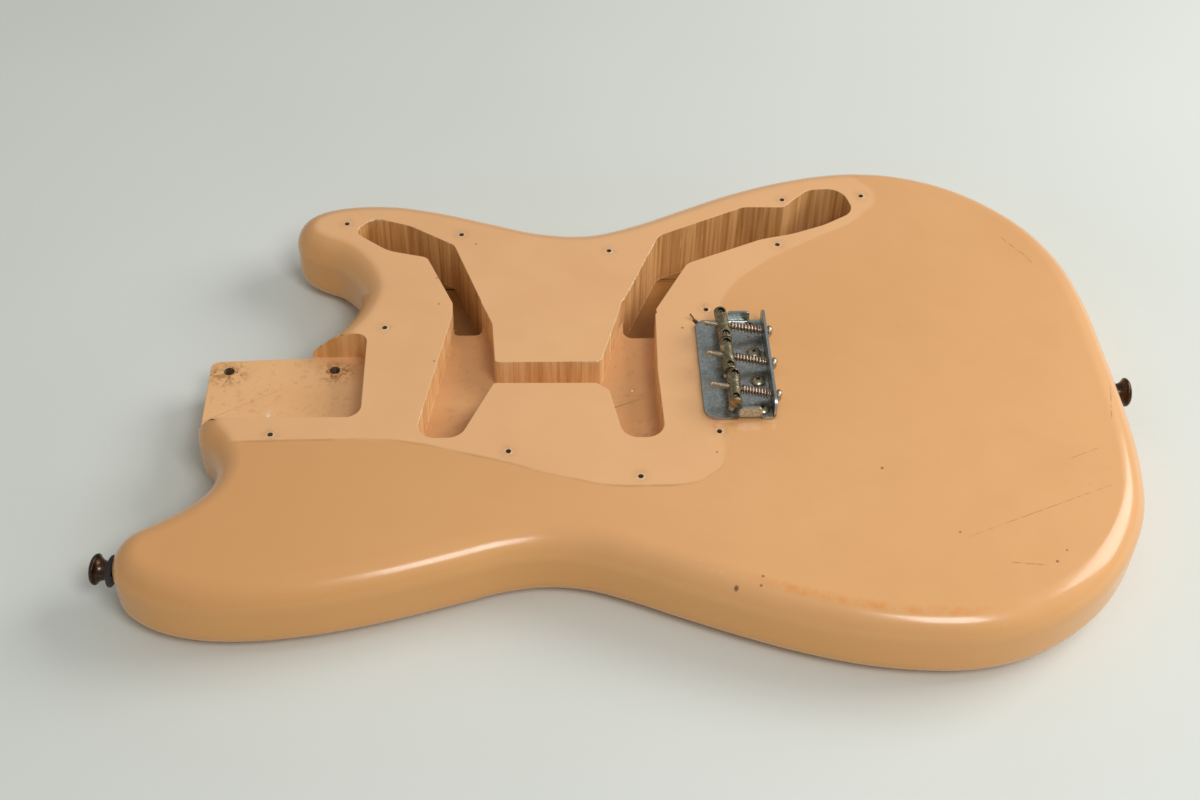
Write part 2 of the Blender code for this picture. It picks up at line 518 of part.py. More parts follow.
# -------------------------------------------------------- saddles and screws
for key, (cx, hy, skew, lean) in SADDLES.items():
    hole = P(HINGE_X, hy, TOP + HOLE_H)
    reach = (HINGE_X - cx) / math.cos(math.radians(skew))
    rise = BARREL_H - HOLE_H
    tilt = math.atan2(rise, reach)
    # u runs from the back wall towards the neck along the intonation screw
    u = Vector((-math.cos(tilt) * math.cos(math.radians(skew)),
                math.cos(tilt) * math.sin(math.radians(skew)), math.sin(tilt)))
    side = Vector((0, 0, 1)).cross(u).normalized()      # along the barrel
    up = u.cross(side)
    if up.z < 0:
        up = -up
    length = math.hypot(reach, rise)                   # hole to barrel centre, mm
    centre = hole + u * length * MM

    pivot = bpy.data.objects.new(f"pivot_{key}", None)
    parts.objects.link(pivot)
    pivot.matrix_world = frame_at(hole, u, up)
    bpy.context.view_layer.update()

    def ride(o, world, parent=pivot):
        o.parent = parent
        o.matrix_parent_inverse = Matrix.Identity(4)
        o.matrix_basis = parent.matrix_world.inverted() @ world

    # the barrel lies a few degrees off square to its screw
    square = side
    side = Matrix.Rotation(math.radians(skew - lean), 3, up) @ square
    # barrel along its own local Z
    sad = turned(f"saddle_{key}", [(0, BARREL_L / 2), (BARREL_R - 0.35, BARREL_L / 2),
                                   (BARREL_R, BARREL_L / 2 - 0.35),
                                   (BARREL_R, -BARREL_L / 2 + 0.35),
                                   (BARREL_R - 0.35, -BARREL_L / 2), (0, -BARREL_L / 2)],
                 BARREL_MAT, 28)
    barrel = Matrix((up.cross(side), up, side)).transposed().to_4x4()
    if barrel.determinant() < 0:
        barrel = Matrix((side.cross(up), up, side)).transposed().to_4x4()
    barrel.translation = centre
    ride(sad, barrel)

    bore = add(f"cut_bore_{key}", rod_mesh(f"cut_bore_{key}", SCREW_R + 0.3, 10, 14), None, cutters)
    place(bore, frame_at(centre - u * 5 * MM, square, u))
    cut(sad, bore)
    for n, s in (("a", 1), ("b", -1)):
        q = centre + side * s * HEIGHT_Y * MM
        k = add(f"cut_height_{key}_{n}", rod_mesh(f"cut_height_{key}_{n}", HEIGHT_R + 0.3, 10, 14),
                None, cutters)
        place(k, frame_at(q - up * 5 * MM, side, up))
        cut(sad, k)
        # the height screw stands just clear of the plate
        foot = (q.z / MM - (Z1 + TIP_GAP)) / up.z
        hs = turned(f"height_screw_{key}_{n}", [(0, HEIGHT_L), (HEIGHT_R - 0.25, HEIGHT_L),
                                                (HEIGHT_R, HEIGHT_L - 0.25), (HEIGHT_R, 0.9),
                                                (HEIGHT_R - 0.75, 0.15), (0.0, 0.0)],
                    SCREW_MAT, 14)
        ride(hs, frame_at(q - up * foot * MM, side, up))
        k = add(f"cut_slot_{key}_{n}", box_mesh(f"cut_slot_{key}_{n}", (4, 0.6, 1.6)), None, cutters)
        place(k, frame_at(q - up * (foot - HEIGHT_L) * MM,
                          side * math.cos(0.7 * s + cx) + u * math.sin(0.7 * s + cx), up))
        cut(hs, k)

    # intonation screw, local Z from its head to its tip
    tip = length + (cx - SCREW_TIP_X) / (math.cos(tilt) * math.cos(math.radians(skew)))
    head_in = -(PLATE_X1 - HINGE_X) / math.cos(tilt) - 1.05
    prof = [(0, tip), (SCREW_R - 0.35, tip), (SCREW_R, tip - 0.35), (SCREW_R, head_in),
            (HEAD_R, head_in), (HEAD_R, head_in - 0.9), (HEAD_R * 0.86, head_in - 1.6),
            (HEAD_R * 0.5, head_in - 2.15), (0, head_in - HEAD_H)]
    sc = turned(f"intonation_screw_{key}", prof, SCREW_MAT, 18)
    ride(sc, frame_at(hole, square, u))
    k = add(f"cut_drive_{key}", box_mesh(f"cut_drive_{key}", (8, 0.8, 2.0)), None, cutters)
    turn_deg = {"treble": 35, "middle": 80, "bass": 120}[key]
    place(k, frame_at(hole + u * (head_in - HEAD_H) * MM,
                      square * math.cos(math.radians(turn_deg)) + up * math.sin(math.radians(turn_deg)), u))
    cut(sc, k)

    # compression spring between the back wall and the barrel
    s0 = (HINGE_X - (PLATE_X1 - SHEET_T)) / math.cos(tilt) + 0.95
    s1 = length - BARREL_R - 0.3
    cu = bpy.data.curves.new(f"spring_{key}", "CURVE")
    cu.dimensions = "3D"
    cu.bevel_depth = SPRING_WIRE * MM
    cu.bevel_resolution = 0
    cu.use_fill_caps = True
    sp = cu.splines.new("POLY")
    per = 8
    n = SPRING_TURNS * per
    sp.points.add(n)
    z = s0 + SPRING_WIRE
    run = s1 - s0 - 2 * SPRING_WIRE
    # closed end turns, open turns between
    steps = []
    for i in range(n):
        w = min(1.0, max(0.0, min(i, n - 1 - i) / per - 0.25))
        steps.append(0.86 + w * 0.9)
    scale = run / sum(steps)
    for i in range(n + 1):
        a = 2 * math.pi * i / per
        sp.points[i].co = (SPRING_R * MM * math.cos(a), SPRING_R * MM * math.sin(a), z * MM, 1)
        if i < n:
            z += steps[i] * scale
    ob = bpy.data.objects.new(f"spring_{key}", cu)
    bpy.context.scene.collection.objects.link(ob)
    sg = add(f"spring_{key}", curve_mesh(ob, f"spring_{key}"), SPRING_MAT)
    sg.data.shade_smooth()
    ride(sg, frame_at(hole, square, u))

# ------------------------------------------------------------ strap buttons
for key, (x, y, ax, ay) in STRAPS.items():
    a = Vector((ax, ay, 0)).normalized()
    foot = P(x, y, STRAP_Z)

    def along(d):
        return frame_at(foot + a * d * MM, Vector((0, 0, 1)), a)

    felt = turned(f"{key}_strap_felt", [(7.1, 1.1), (7.1, 0.3), (2.5, 0.3), (2.5, 1.1)],
                  FELT_MAT, 24, closed=True)
    place(felt, along(0))
    # flared button: foot 8.4 mm, rim 14 mm, domed face with a countersink
    prof = [(3.6, 8.05), (4.6, 8.0), (5.8, 7.6), (6.6, 7.0), (7.0, 6.2), (6.95, 5.75),
            (6.6, 5.45), (5.6, 4.6), (4.7, 3.2), (4.3, 1.6), (4.2, 0.0), (2.5, 0.0), (2.5, 5.7)]
    but = turned(f"{key}_strap_button", prof, BRONZE_MAT, 28, closed=True)
    place(but, along(1.4))
    # oval-head screw seated in the button
    head = [(0.0, 9.7), (1.4, 9.6), (2.5, 9.25), (3.25, 8.75), (3.25, 8.45), (2.1, 7.2)]
    shank = [(1.95, 7.0), (1.95, -17.5), (0.8, -20.6), (0.0, -21.0)]
    scr = turned(f"{key}_strap_screw", head + shank, BRONZE_MAT, 18)
    place(scr, along(1.4 - 1.2))
    for j in range(2):
        k = add(f"cut_strap_cross_{key}_{j}", box_mesh(f"cut_strap_cross_{key}_{j}",
                (3.4, 0.85, 1.9), (0, 0, 9.7)), None, cutters)
        place(k, along(0.2) @ Matrix.Rotation(math.radians(25 + 90 * j), 4, "Z"))
        cut(scr, k)

# -------------------------------------------------------------- ground wire
route = [WIRE_HOLE[0] + (WIRE_HOLE[1] - WIRE_HOLE[0]) * t for t in (0.62, 0.45, 0.3, 0.2, 0.13)]
route += [P(163.3, 24.6, TOP - 0.55), P(161.6, 27.2, TOP - 0.42), P(160.0, 29.7, TOP - 0.36),
          P(158.7, 31.7, TOP - 0.3), P(157.9, 33.0, TOP - 0.12), P(157.1, 34.2, TOP + 0.4),
          P(156.2, 35.5, TOP + 1.05), P(155.2, 36.9, TOP + 1.75)]
cu = bpy.data.curves.new("ground_wire", "CURVE")
cu.dimensions = "3D"
cu.bevel_depth = 0.36 * MM
cu.bevel_resolution = 2
cu.use_fill_caps = True
sp = cu.splines.new("POLY")
sp.points.add(len(route) - 1)
for q, v in zip(sp.points, route):
    q.co = (*v, 1)
ob = bpy.data.objects.new("ground_wire", cu)
bpy.context.scene.collection.objects.link(ob)
wire = add("ground_wire", curve_mesh(ob, "ground_wire"), WIRE_MAT)
wire.data.shade_smooth()
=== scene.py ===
import math

import bmesh
import bpy
import numpy as np
from mathutils import Matrix, Vector


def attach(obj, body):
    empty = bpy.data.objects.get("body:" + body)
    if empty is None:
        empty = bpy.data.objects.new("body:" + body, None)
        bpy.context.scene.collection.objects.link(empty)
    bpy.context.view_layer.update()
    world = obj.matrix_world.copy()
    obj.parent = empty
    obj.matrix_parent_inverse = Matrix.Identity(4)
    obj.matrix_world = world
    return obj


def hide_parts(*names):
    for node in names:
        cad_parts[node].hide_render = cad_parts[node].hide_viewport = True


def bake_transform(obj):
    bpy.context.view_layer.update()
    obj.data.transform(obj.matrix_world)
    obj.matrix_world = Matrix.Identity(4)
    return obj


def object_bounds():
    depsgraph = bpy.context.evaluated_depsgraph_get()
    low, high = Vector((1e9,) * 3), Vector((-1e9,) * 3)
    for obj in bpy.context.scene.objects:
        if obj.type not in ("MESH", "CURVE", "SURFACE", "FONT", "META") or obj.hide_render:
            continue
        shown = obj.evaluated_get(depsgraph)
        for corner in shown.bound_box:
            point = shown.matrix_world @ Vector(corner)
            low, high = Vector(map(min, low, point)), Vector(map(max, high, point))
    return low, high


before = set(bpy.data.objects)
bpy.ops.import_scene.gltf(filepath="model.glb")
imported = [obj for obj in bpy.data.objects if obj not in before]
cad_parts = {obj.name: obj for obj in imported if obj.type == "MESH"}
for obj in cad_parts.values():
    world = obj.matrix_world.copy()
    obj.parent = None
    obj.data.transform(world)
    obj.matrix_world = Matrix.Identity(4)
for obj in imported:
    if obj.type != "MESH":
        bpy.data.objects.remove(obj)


def plain(box):
    return [[float(c) for c in corner] for corner in box]


CAD_BOX = plain(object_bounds())
MM = 0.001
ORIGIN_X, ORIGIN_Y = 126.63, 1.15

BODY_T = 38.1                         # body thickness, 1 1/2 in
EDGE_R = 12.7                         # edge round-over, 1/2 in
POCKET_DEPTH = 15.9                   # neck pocket, 5/8 in
SHALLOW = 15.9                        # pickup cavities and wiring channel
DEEP = 30.2                           # switch and control cavities, 1 3/16 in
POCKET_END_HALF, POCKET_MOUTH_HALF = 27.55, 26.1
HEEL_X = -75.6                        # front face of the neck heel
NECK_HOLE_R = 2.4
NECK_HOLES = [(-66.6, 19.0), (-16.2, 19.0), (-66.6, -19.0), (-16.2, -19.0)]
PILOT_R, PILOT_DEPTH = 1.15, 12.0
PILOTS = [(-15.1, 109.2), (43.3, 99.8), (117.7, 86.3), (8.1, 31.6),
          (-39.6, -37.8), (67.5, -50.0), (126.0, -66.1), (209.6, 125.6),
          (203.4, 89.9), (251.4, 128.2), (163.3, 41.9), (163.1, -39.5)]

# Outline stations, counter-clockwise from the heel's treble corner round the
# tail and back. The heel's straight sides join the first and last station.
OUTLINE = [(-29.0, 27.4), (-22.6, 28.8), (-18.2, 32.4), (-14.2, 37.2),
           (-8.3, 47.5), (-5.0, 61.0), (-9.3, 74.5),
           (-19.0, 86.2), (-30.6, 92.4), (-38.4, 99.2), (-41.2, 108.4),
           (-38.6, 118.2), (-30.2, 125.6), (-14.0, 130.2), (10.0, 130.2),
           (36.0, 124.0), (60.0, 115.6), (84.0, 107.6), (107.0, 105.8),
           (130.0, 113.0), (155.0, 125.2), (180.0, 137.4), (205.0, 146.8),
           (231.0, 153.2), (253.0, 154.9), (276.0, 151.6), (300.0, 141.6),
           (321.0, 125.4), (338.0, 104.2), (349.2, 77.8), (354.2, 47.5),
           (355.6, 16.0), (356.3, -20.0), (355.2, -52.0), (350.2, -81.5),
           (339.8, -104.0), (324.8, -123.4), (306.0, -138.2), (286.0, -147.8),
           (265.0, -152.3), (244.0, -152.3), (217.0, -148.6), (190.0, -141.2),
           (165.0, -132.0), (140.0, -121.6), (118.0, -112.0), (101.0, -106.2),
           (84.0, -104.3), (66.0, -106.6), (44.0, -113.2), (14.0, -121.8),
           (-15.0, -128.0), (-44.0, -130.9), (-66.0, -129.6), (-84.0, -124.4),
           (-96.0, -116.3), (-100.2, -110.0), (-102.4, -105.2), (-102.6, -99.9),
           (-100.6, -94.8), (-97.3, -90.9), (-93.0, -87.5),
           (-84.0, -81.9), (-73.6, -74.3), (-65.4, -64.2), (-63.2, -53.4),
           (-67.0, -42.4), (-73.2, -33.6), (-75.6, -22.0)]

# Bridge, heights above the body's top
PLATE_X0, PLATE_X1 = 157.2, 189.7
PLATE_HALF, SHEET_T = 32.6, 1.2
REST_GAP = 0.3
WALL_H, TAB_H = 10.8, 7.4
TAB_X0, TAB_X1 = 172.4, 183.2
HINGE_X, HOLE_H = 189.1, 5.3
BARREL_R, BARREL_L = 3.0, 20.0
BARREL_H = 9.0
SADDLES = {      # centre x, hole y, plan turn of the screw and of the barrel, degrees
    "treble": (169.1, 20.62, 0.8, -3.8),
    "middle": (169.7, -1.08, 3.2, -1.9),
    "bass": (170.9, -22.05, 3.6, 2.6),
}
SCREW_R, SCREW_TIP_X = 1.35, 159.8
HEAD_R, HEAD_H = 2.9, 2.3
SPRING_R, SPRING_WIRE, SPRING_TURNS = 1.95, 0.38, 10
HEIGHT_R, HEIGHT_L, HEIGHT_Y = 1.4, 9.2, 7.5
TIP_GAP = 0.4
MOUNT_SCREWS = [(183.4, 27.6), (183.4, 9.3), (183.5, -9.2), (183.8, -27.4)]

# Strap buttons: foot of the axis on the body's side, and direction
STRAP_Z = 19.0
STRAPS = {"front": (-102.8, -99.8, -0.985, 0.174), "tail": (356.25, 0.3, 0.9995, 0.03)}
TOP = BODY_T
scene = bpy.context.scene


def P(x, y, z=0.0):
    """Design millimetres to row metres."""
    return Vector(((x - ORIGIN_X) * MM, (y - ORIGIN_Y) * MM, z * MM))


# ------------------------------------------------------------------- camera
th, ps, ro = (math.radians(a) for a in (45.64, 3.00, 1.42))
fw = Vector((math.sin(ps) * math.cos(th), math.cos(ps) * math.cos(th), -math.sin(th)))
right = Vector((math.cos(ps), -math.sin(ps), 0))
up = right.cross(fw)
r2 = math.cos(ro) * right + math.sin(ro) * up
u2 = -math.sin(ro) * right + math.cos(ro) * up
cam_data = bpy.data.cameras.new("camera")
cam_data.sensor_width = 36
cam_data.lens = 1712 / 1200 * 36
cam_data.clip_start, cam_data.clip_end = 0.01, 50
cam = bpy.data.objects.new("camera", cam_data)
scene.collection.objects.link(cam)
m = Matrix((r2, u2, -fw)).transposed().to_4x4()
m.translation = P(80.77, -569.65, 602.08)
cam.matrix_world = m
scene.camera = cam


# ---------------------------------------------------------------- materials
class Mat:
    """Small helper round one node tree."""

    def __init__(self, name, rough=0.5, metal=0.0, colour=(0.5, 0.5, 0.5)):
        self.m = bpy.data.materials.new(name)
        self.m.use_nodes = True
        self.t = self.m.node_tree
        self.b = self.t.nodes["Principled BSDF"]
        self.b.inputs["Base Color"].default_value = (*colour, 1)
        self.b.inputs["Roughness"].default_value = rough
        self.b.inputs["Metallic"].default_value = metal
        self.coord = self.node("ShaderNodeTexCoord").outputs["Object"]

    def node(self, kind, **kw):
        n = self.t.nodes.new(kind)
        for k, v in kw.items():
            setattr(n, k, v)
        return n

    def put(self, n, key, v):
        if isinstance(v, bpy.types.NodeSocket):
            self.t.links.new(v, n.inputs[key])
        else:
            n.inputs[key].default_value = v

    def scaled(self, scale, offset=(0, 0, 0), turn=(0, 0, 0)):
        n = self.node("ShaderNodeMapping")
        self.put(n, "Vector", self.coord)
        self.put(n, "Scale", scale)
        self.put(n, "Location", offset)
        self.put(n, "Rotation", turn)
        return n.outputs["Vector"]

    def noise(self, scale, detail=4, rough=0.55, vector=None, distort=0.0):
        n = self.node("ShaderNodeTexNoise")
        self.put(n, "Vector", vector or self.coord)
        self.put(n, "Scale", scale)
        self.put(n, "Detail", detail)
        self.put(n, "Roughness", rough)
        self.put(n, "Distortion", distort)
        return n.outputs["Fac"]

    def cells(self, scale, vector=None, feature="F1", out="Distance", rand=1.0):
        n = self.node("ShaderNodeTexVoronoi", feature=feature)
        self.put(n, "Vector", vector or self.coord)
        self.put(n, "Scale", scale)
        self.put(n, "Randomness", rand)
        return n.outputs[out]

    def math(self, op, a, b=0.0, c=0.0, clamp=False):
        n = self.node("ShaderNodeMath", operation=op, use_clamp=clamp)
        self.put(n, 0, a)
        self.put(n, 1, b)
        self.put(n, 2, c)
        return n.outputs[0]

    def times(self, *vs):
        out = vs[0]
        for v in vs[1:]:
            out = self.math("MULTIPLY", out, v)
        return out

    def most(self, *vs):
        out = vs[0]
        for v in vs[1:]:
            out = self.math("MAXIMUM", out, v)
        return out

    def span(self, v, a, b, c=0.0, d=1.0):
        """Map a..b to c..d, held at the ends."""
        n = self.node("ShaderNodeMapRange", clamp=True)
        self.put(n, "Value", v)
        for k, x in (("From Min", a), ("From Max", b), ("To Min", c), ("To Max", d)):
            self.put(n, k, x)
        return n.outputs["Result"]

    def mix(self, f, a, b, mode="MIX"):
        n = self.node("ShaderNodeMix", data_type="RGBA", blend_type=mode)
        n.clamp_factor = True
        self.put(n, 0, f)
        for i, v in ((6, a), (7, b)):
            if isinstance(v, bpy.types.NodeSocket):
                self.t.links.new(v, n.inputs[i])
            else:
                n.inputs[i].default_value = (*v, 1)
        return n.outputs[2]

    def xyz(self):
        n = self.node("ShaderNodeSeparateXYZ")
        self.put(n, 0, self.coord)
        return n.outputs

    def facing(self):
        """How much the surface faces up, 1 on a floor and 0 on a wall."""
        g = self.node("ShaderNodeNewGeometry")
        n = self.node("ShaderNodeSeparateXYZ")
        self.put(n, 0, g.outputs["Normal"])
        return n.outputs[2]

    def from_point(self, x, y, z=None, squash=(1, 1, 1)):
        """Distance (m) from a design point, in plan where z is left out."""
        n = self.node("ShaderNodeVectorMath", operation="SUBTRACT")
        self.put(n, 0, self.coord)
        self.put(n, 1, tuple(P(x, y, z or 0.0)))
        k = self.node("ShaderNodeVectorMath", operation="MULTIPLY")
        self.put(k, 0, n.outputs[0])
        self.put(k, 1, (squash[0], squash[1], squash[2] if z is not None else 0.0))
        d = self.node("ShaderNodeVectorMath", operation="LENGTH")
        self.put(d, 0, k.outputs[0])
        return d.outputs["Value"]

    def spot(self, x, y, r, soft, z=None, squash=(1, 1, 1)):
        """1 inside a round spot (design millimetres), 0 outside."""
        return self.span(self.from_point(x, y, z, squash), (r + soft) * MM, max(r - soft, 0) * MM)

    def stroke(self, x0, y0, x1, y1, width):
        """1 on a straight scratch in plan, fading over its width."""
        a, b = P(x0, y0), P(x1, y1)
        d = b - a
        n = self.node("ShaderNodeVectorMath", operation="SUBTRACT")
        self.put(n, 0, self.coord)
        self.put(n, 1, tuple(a))
        across = self.node("ShaderNodeVectorMath", operation="DOT_PRODUCT")
        self.put(across, 0, n.outputs[0])
        self.put(across, 1, tuple(Vector((-d.y, d.x, 0)).normalized()))
        along = self.node("ShaderNodeVectorMath", operation="DOT_PRODUCT")
        self.put(along, 0, n.outputs[0])
        self.put(along, 1, tuple(d.normalized()))
        w = self.span(self.math("ABSOLUTE", across.outputs["Value"]), width * MM, 0.25 * width * MM)
        s = self.span(along.outputs["Value"], 0, 0.15 * d.length)
        e = self.span(along.outputs["Value"], d.length, 0.8 * d.length)
        return self.times(w, s, e)

    def curve(self, v, pts, swap=False):
        """Smooth function through design points: y of x, or x of y with swap.
        Returns metres."""
        ox, oy = (ORIGIN_Y, ORIGIN_X) if swap else (ORIGIN_X, ORIGIN_Y)
        x0, x1 = pts[0][0], pts[-1][0]
        lo, hi = min(q[1] for q in pts), max(q[1] for q in pts)
        n = self.node("ShaderNodeFloatCurve")
        self.put(n, "Value", self.span(v, (x0 - ox) * MM, (x1 - ox) * MM))
        cu = n.mapping.curves[0]
        for i, (px, py) in enumerate(pts):
            t, w = (px - x0) / (x1 - x0), (py - lo) / (hi - lo)
            if i == 0:
                cu.points[0].location = (t, w)
            elif i == len(pts) - 1:
                cu.points[-1].location = (t, w)
            else:
                cu.points.new(t, w)
        n.mapping.update()
        return self.span(n.outputs["Value"], 0, 1, (lo - oy) * MM, (hi - oy) * MM)

    def base(self, v):
        self.put(self.b, "Base Color", v)

    def rough(self, v):
        self.put(self.b, "Roughness", v)

    def bump(self, height, strength=0.3, distance=0.001, normal=None):
        n = self.node("ShaderNodeBump")
        self.put(n, "Strength", strength)
        self.put(n, "Distance", distance)
        self.put(n, "Height", height)
        if normal is not None:
            self.put(n, "Normal", normal)
        return n.outputs["Normal"]

    def normal(self, v):
        self.put(self.b, "Normal", v)


GUARD_LOW = [(-90, -43.0), (-50, -42.1), (-21, -41.8), (8, -41.9), (25, -44.4), (45, -50.2), (64, -56.0),
             (97, -67.4), (120, -71.9), (142, -71.7), (157.7, -65.5), (165.2, -54.9), (170, -40)]
GUARD_HIGH = [(-80, 163.0), (-40, 165.0), (35, 168.0), (52.1, 173.5), (74.9, 193.6), (93.8, 221.6), (114.1, 250.6),
              (128.8, 258.5), (138.9, 253.6), (150, 240)]


def lacquer_colour(mt):
    """Tan lacquer: large drifts, the paler ground the guard covered, and the
    line of dirt round it. Returns colour, fine noise and the guard mask."""
    x, y, z = mt.xyz()
    drift = mt.noise(7, 3, 0.5)
    cloud = mt.noise(26, 4, 0.55)
    fine = mt.noise(120, 5, 0.6)
    outer = mt.mix(mt.span(drift, 0.3, 0.7), (0.735, 0.370, 0.140), (0.800, 0.420, 0.175))
    # painted shade: the top darkens towards the neck end, away from the lamps
    outer = mt.mix(mt.span(x, -0.20, 0.02, 0.55, 0.0), outer, (0.690, 0.335, 0.115))
    outer = mt.mix(mt.span(cloud, 0.45, 0.75, 0, 0.30), outer, (0.68, 0.335, 0.125))
    inner = mt.mix(mt.span(cloud, 0.3, 0.7), (0.850, 0.470, 0.215), (0.810, 0.435, 0.195))
    # painted shade: the sides are tinted a deeper, more saturated brown than the top
    outer = mt.mix(mt.span(z, 0.0365, 0.0250, 0.0, 0.65), outer, (0.760, 0.360, 0.095))
    low = mt.math("SUBTRACT", y, mt.curve(x, GUARD_LOW))
    high = mt.math("SUBTRACT", mt.curve(y, GUARD_HIGH, swap=True), x)
    flat = mt.span(z, 0.0374, 0.0380)
    edge = mt.math("MINIMUM", low, high)
    guard = mt.times(mt.span(edge, -0.0012, 0.0012), flat)
    col = mt.mix(guard, outer, inner)
    line = mt.times(mt.span(mt.math("ABSOLUTE", low), 0.0011, 0.0001), flat,
                    mt.span(x, 0.046, 0.036), mt.span(mt.noise(45, 3), 0.35, 0.6, 0.15, 0.9))
    col = mt.mix(mt.times(line, 0.55), col, (0.40, 0.19, 0.06))
    return col, fine, cloud, guard, (x, y, z)


def cream_rims(mt, col, z, where):
    """Chipped rims of the routs: pale wood where the lacquer broke away."""
    rim = mt.times(mt.span(z, 0.0368, 0.0374), mt.span(mt.facing(), 0.95, 0.85))
    chip = mt.span(mt.noise(420, 4, 0.7), 0.50, 0.56)
    return mt.mix(mt.times(rim, chip, where), col, (0.86, 0.72, 0.52))


def body_material():
    mt = Mat("tan_lacquer", 0.2)
    col, fine, cloud, guard, (x, y, z) = lacquer_colour(mt)
    # fine specks of dirt, and a few larger dents down to the primer and wood
    specks = mt.times(mt.span(mt.cells(260), 0.075, 0.03), mt.span(mt.noise(31, 2), 0.60, 0.68))
    col = mt.mix(mt.times(specks, 0.75), col, (0.20, 0.10, 0.04))
    pale = mt.times(mt.span(mt.cells(300, mt.scaled((1, 1, 1), (0.3, 0.1, 0))), 0.07, 0.03), mt.span(mt.noise(27, 2, 0.5, mt.scaled((1, 1, 1), (1.3, 0.4, 0))), 0.61, 0.68))
    col = mt.mix(mt.times(pale, 0.7), col, (0.88, 0.74, 0.55))
    for dx, dy, r in ((163.2, -126.8, 0.9), (174.5, -123.3, 0.55), (173.4, -127.3, 0.5), (150.8, -130.5, 0.55),
                      (233.8, -63.4, 0.6), (262.0, -101.0, 0.45), (300.5, -118.0, 0.6), (306.0, -112.0, 0.4)):
        col = mt.mix(mt.times(mt.spot(dx, dy, r, 0.35), 0.9), col, (0.16, 0.07, 0.03))
    for dx, dy, r in ((50.8, 92.3, 0.55), (32.0, 66.8, 0.5), (33.6, 47.8, 0.5), (32.5, 8.1, 0.5), (161.0, -52.4, 0.5),
                      (151.0, 29.0, 0.6)):
        col = mt.mix(mt.times(mt.spot(dx, dy, r, 0.3), 0.8), col, (0.22, 0.11, 0.05))
    # dirt ring, compressed lacquer and a pale chip at every pilot hole
    ring, chip = None, None
    for px, py in PILOTS:
        d = mt.from_point(px, py)
        one = mt.span(d, 0.0055, 0.0012)
        c = mt.spot(px + 0.35, py - 0.25, 1.75, 0.25)
        ring = one if ring is None else mt.most(ring, one)
        chip = c if chip is None else mt.most(chip, c)
    top = mt.span(z, 0.0370, 0.0378)
    col = mt.mix(mt.times(ring, mt.span(mt.noise(330, 4, 0.65), 0.35, 0.65), 0.40, top), col, (0.33, 0.22, 0.12))
    col = mt.mix(mt.times(chip, mt.span(mt.noise(700, 3), 0.46, 0.54), 0.75, top), col, (0.84, 0.68, 0.47))
    # reddish smudges left by the bridge's edge and by the pilot next to it
    red = mt.most(mt.spot(163.0, 44.5, 1.8, 1.4), mt.spot(161.5, -36.0, 1.9, 1.5), mt.spot(166.0, -34.2, 2.6, 2.0, squash=(0.4, 1.6, 1)))
    col = mt.mix(mt.times(red, mt.span(mt.noise(420, 3), 0.40, 0.62), 0.65), col, (0.72, 0.22, 0.10))
    # darker, mottled patch under the bridge plate, fading a few millimetres round its edge
    near = mt.times(mt.span(mt.math("ABSOLUTE", mt.math("SUBTRACT", x, (173.4 - ORIGIN_X) * MM)), 0.0195, 0.0166),
                    mt.span(mt.math("ABSOLUTE", y), 0.0352, 0.0330), top)
    col = mt.mix(mt.times(near, mt.span(mt.noise(180, 4), 0.3, 0.7, 0.2, 0.8), 0.5), col, (0.45, 0.25, 0.11))
    # long hairline scratch and short marks towards the tail
    marks = mt.most(mt.stroke(262, -105, 341, -72.6, 0.35), mt.stroke(318, -60, 336, -52, 0.3), mt.stroke(344, -36, 350, -10, 0.5),
                    mt.stroke(280, -118, 296, -120, 0.5), mt.stroke(318, 95, 327, 80, 0.55), mt.stroke(326, 84, 331, 72, 0.4))
    col = mt.mix(mt.times(marks, mt.span(mt.noise(260, 3), 0.35, 0.55), 0.6), col, (0.36, 0.17, 0.06))
    # orange line where the lacquer is worn thin along the near edge
    worn = mt.times(mt.span(x, 0.035, 0.06), mt.span(x, 0.155, 0.125), mt.span(y, -0.118, -0.124), mt.span(z, 0.0366, 0.0374),
                    mt.span(z, 0.0381, 0.0379), mt.span(mt.noise(160, 4, 0.65), 0.40, 0.62))
    col = mt.mix(mt.times(worn, 0.7), col, (0.78, 0.30, 0.07))
    rims = mt.most(mt.spot(-6, 108, 11, 3), mt.spot(118, 26, 13, 8), mt.spot(124, 60, 16, 6), mt.spot(137, 88, 12, 5),
                   mt.spot(214, 108, 10, 6), mt.spot(108, 6, 6, 3), mt.spot(28, -30, 9, 5), mt.spot(0, -27, 4, 2),
                   mt.spot(-74, -26, 7, 3), mt.spot(56, 44, 10, 6))
    rims = mt.math("ADD", rims, mt.span(mt.noise(22, 3), 0.58, 0.68, 0, 0.6), clamp=True)
    col = cream_rims(mt, col, z, rims)
    mt.base(col)
    gloss = mt.span(fine, 0.3, 0.8, 0.17, 0.27)
    mt.rough(mt.math("ADD", gloss, mt.times(guard, 0.10)))
    mt.b.inputs["Coat Weight"].default_value = 0.12
    mt.b.inputs["Coat Roughness"].default_value = 0.08
    dent = mt.times(mt.span(mt.cells(60), 0.10, 0.02), mt.span(mt.noise(12, 2, 0.5, mt.scaled((1, 1, 1), (3.0, 0, 0))), 0.55, 0.65))
    wave = mt.noise(20, 3, 0.5)
    height = mt.math("SUBTRACT", mt.math("ADD", wave, mt.times(fine, 0.05)), mt.times(dent, 0.06))
    mt.normal(mt.bump(height, 0.22, 0.0010))
    return mt.m


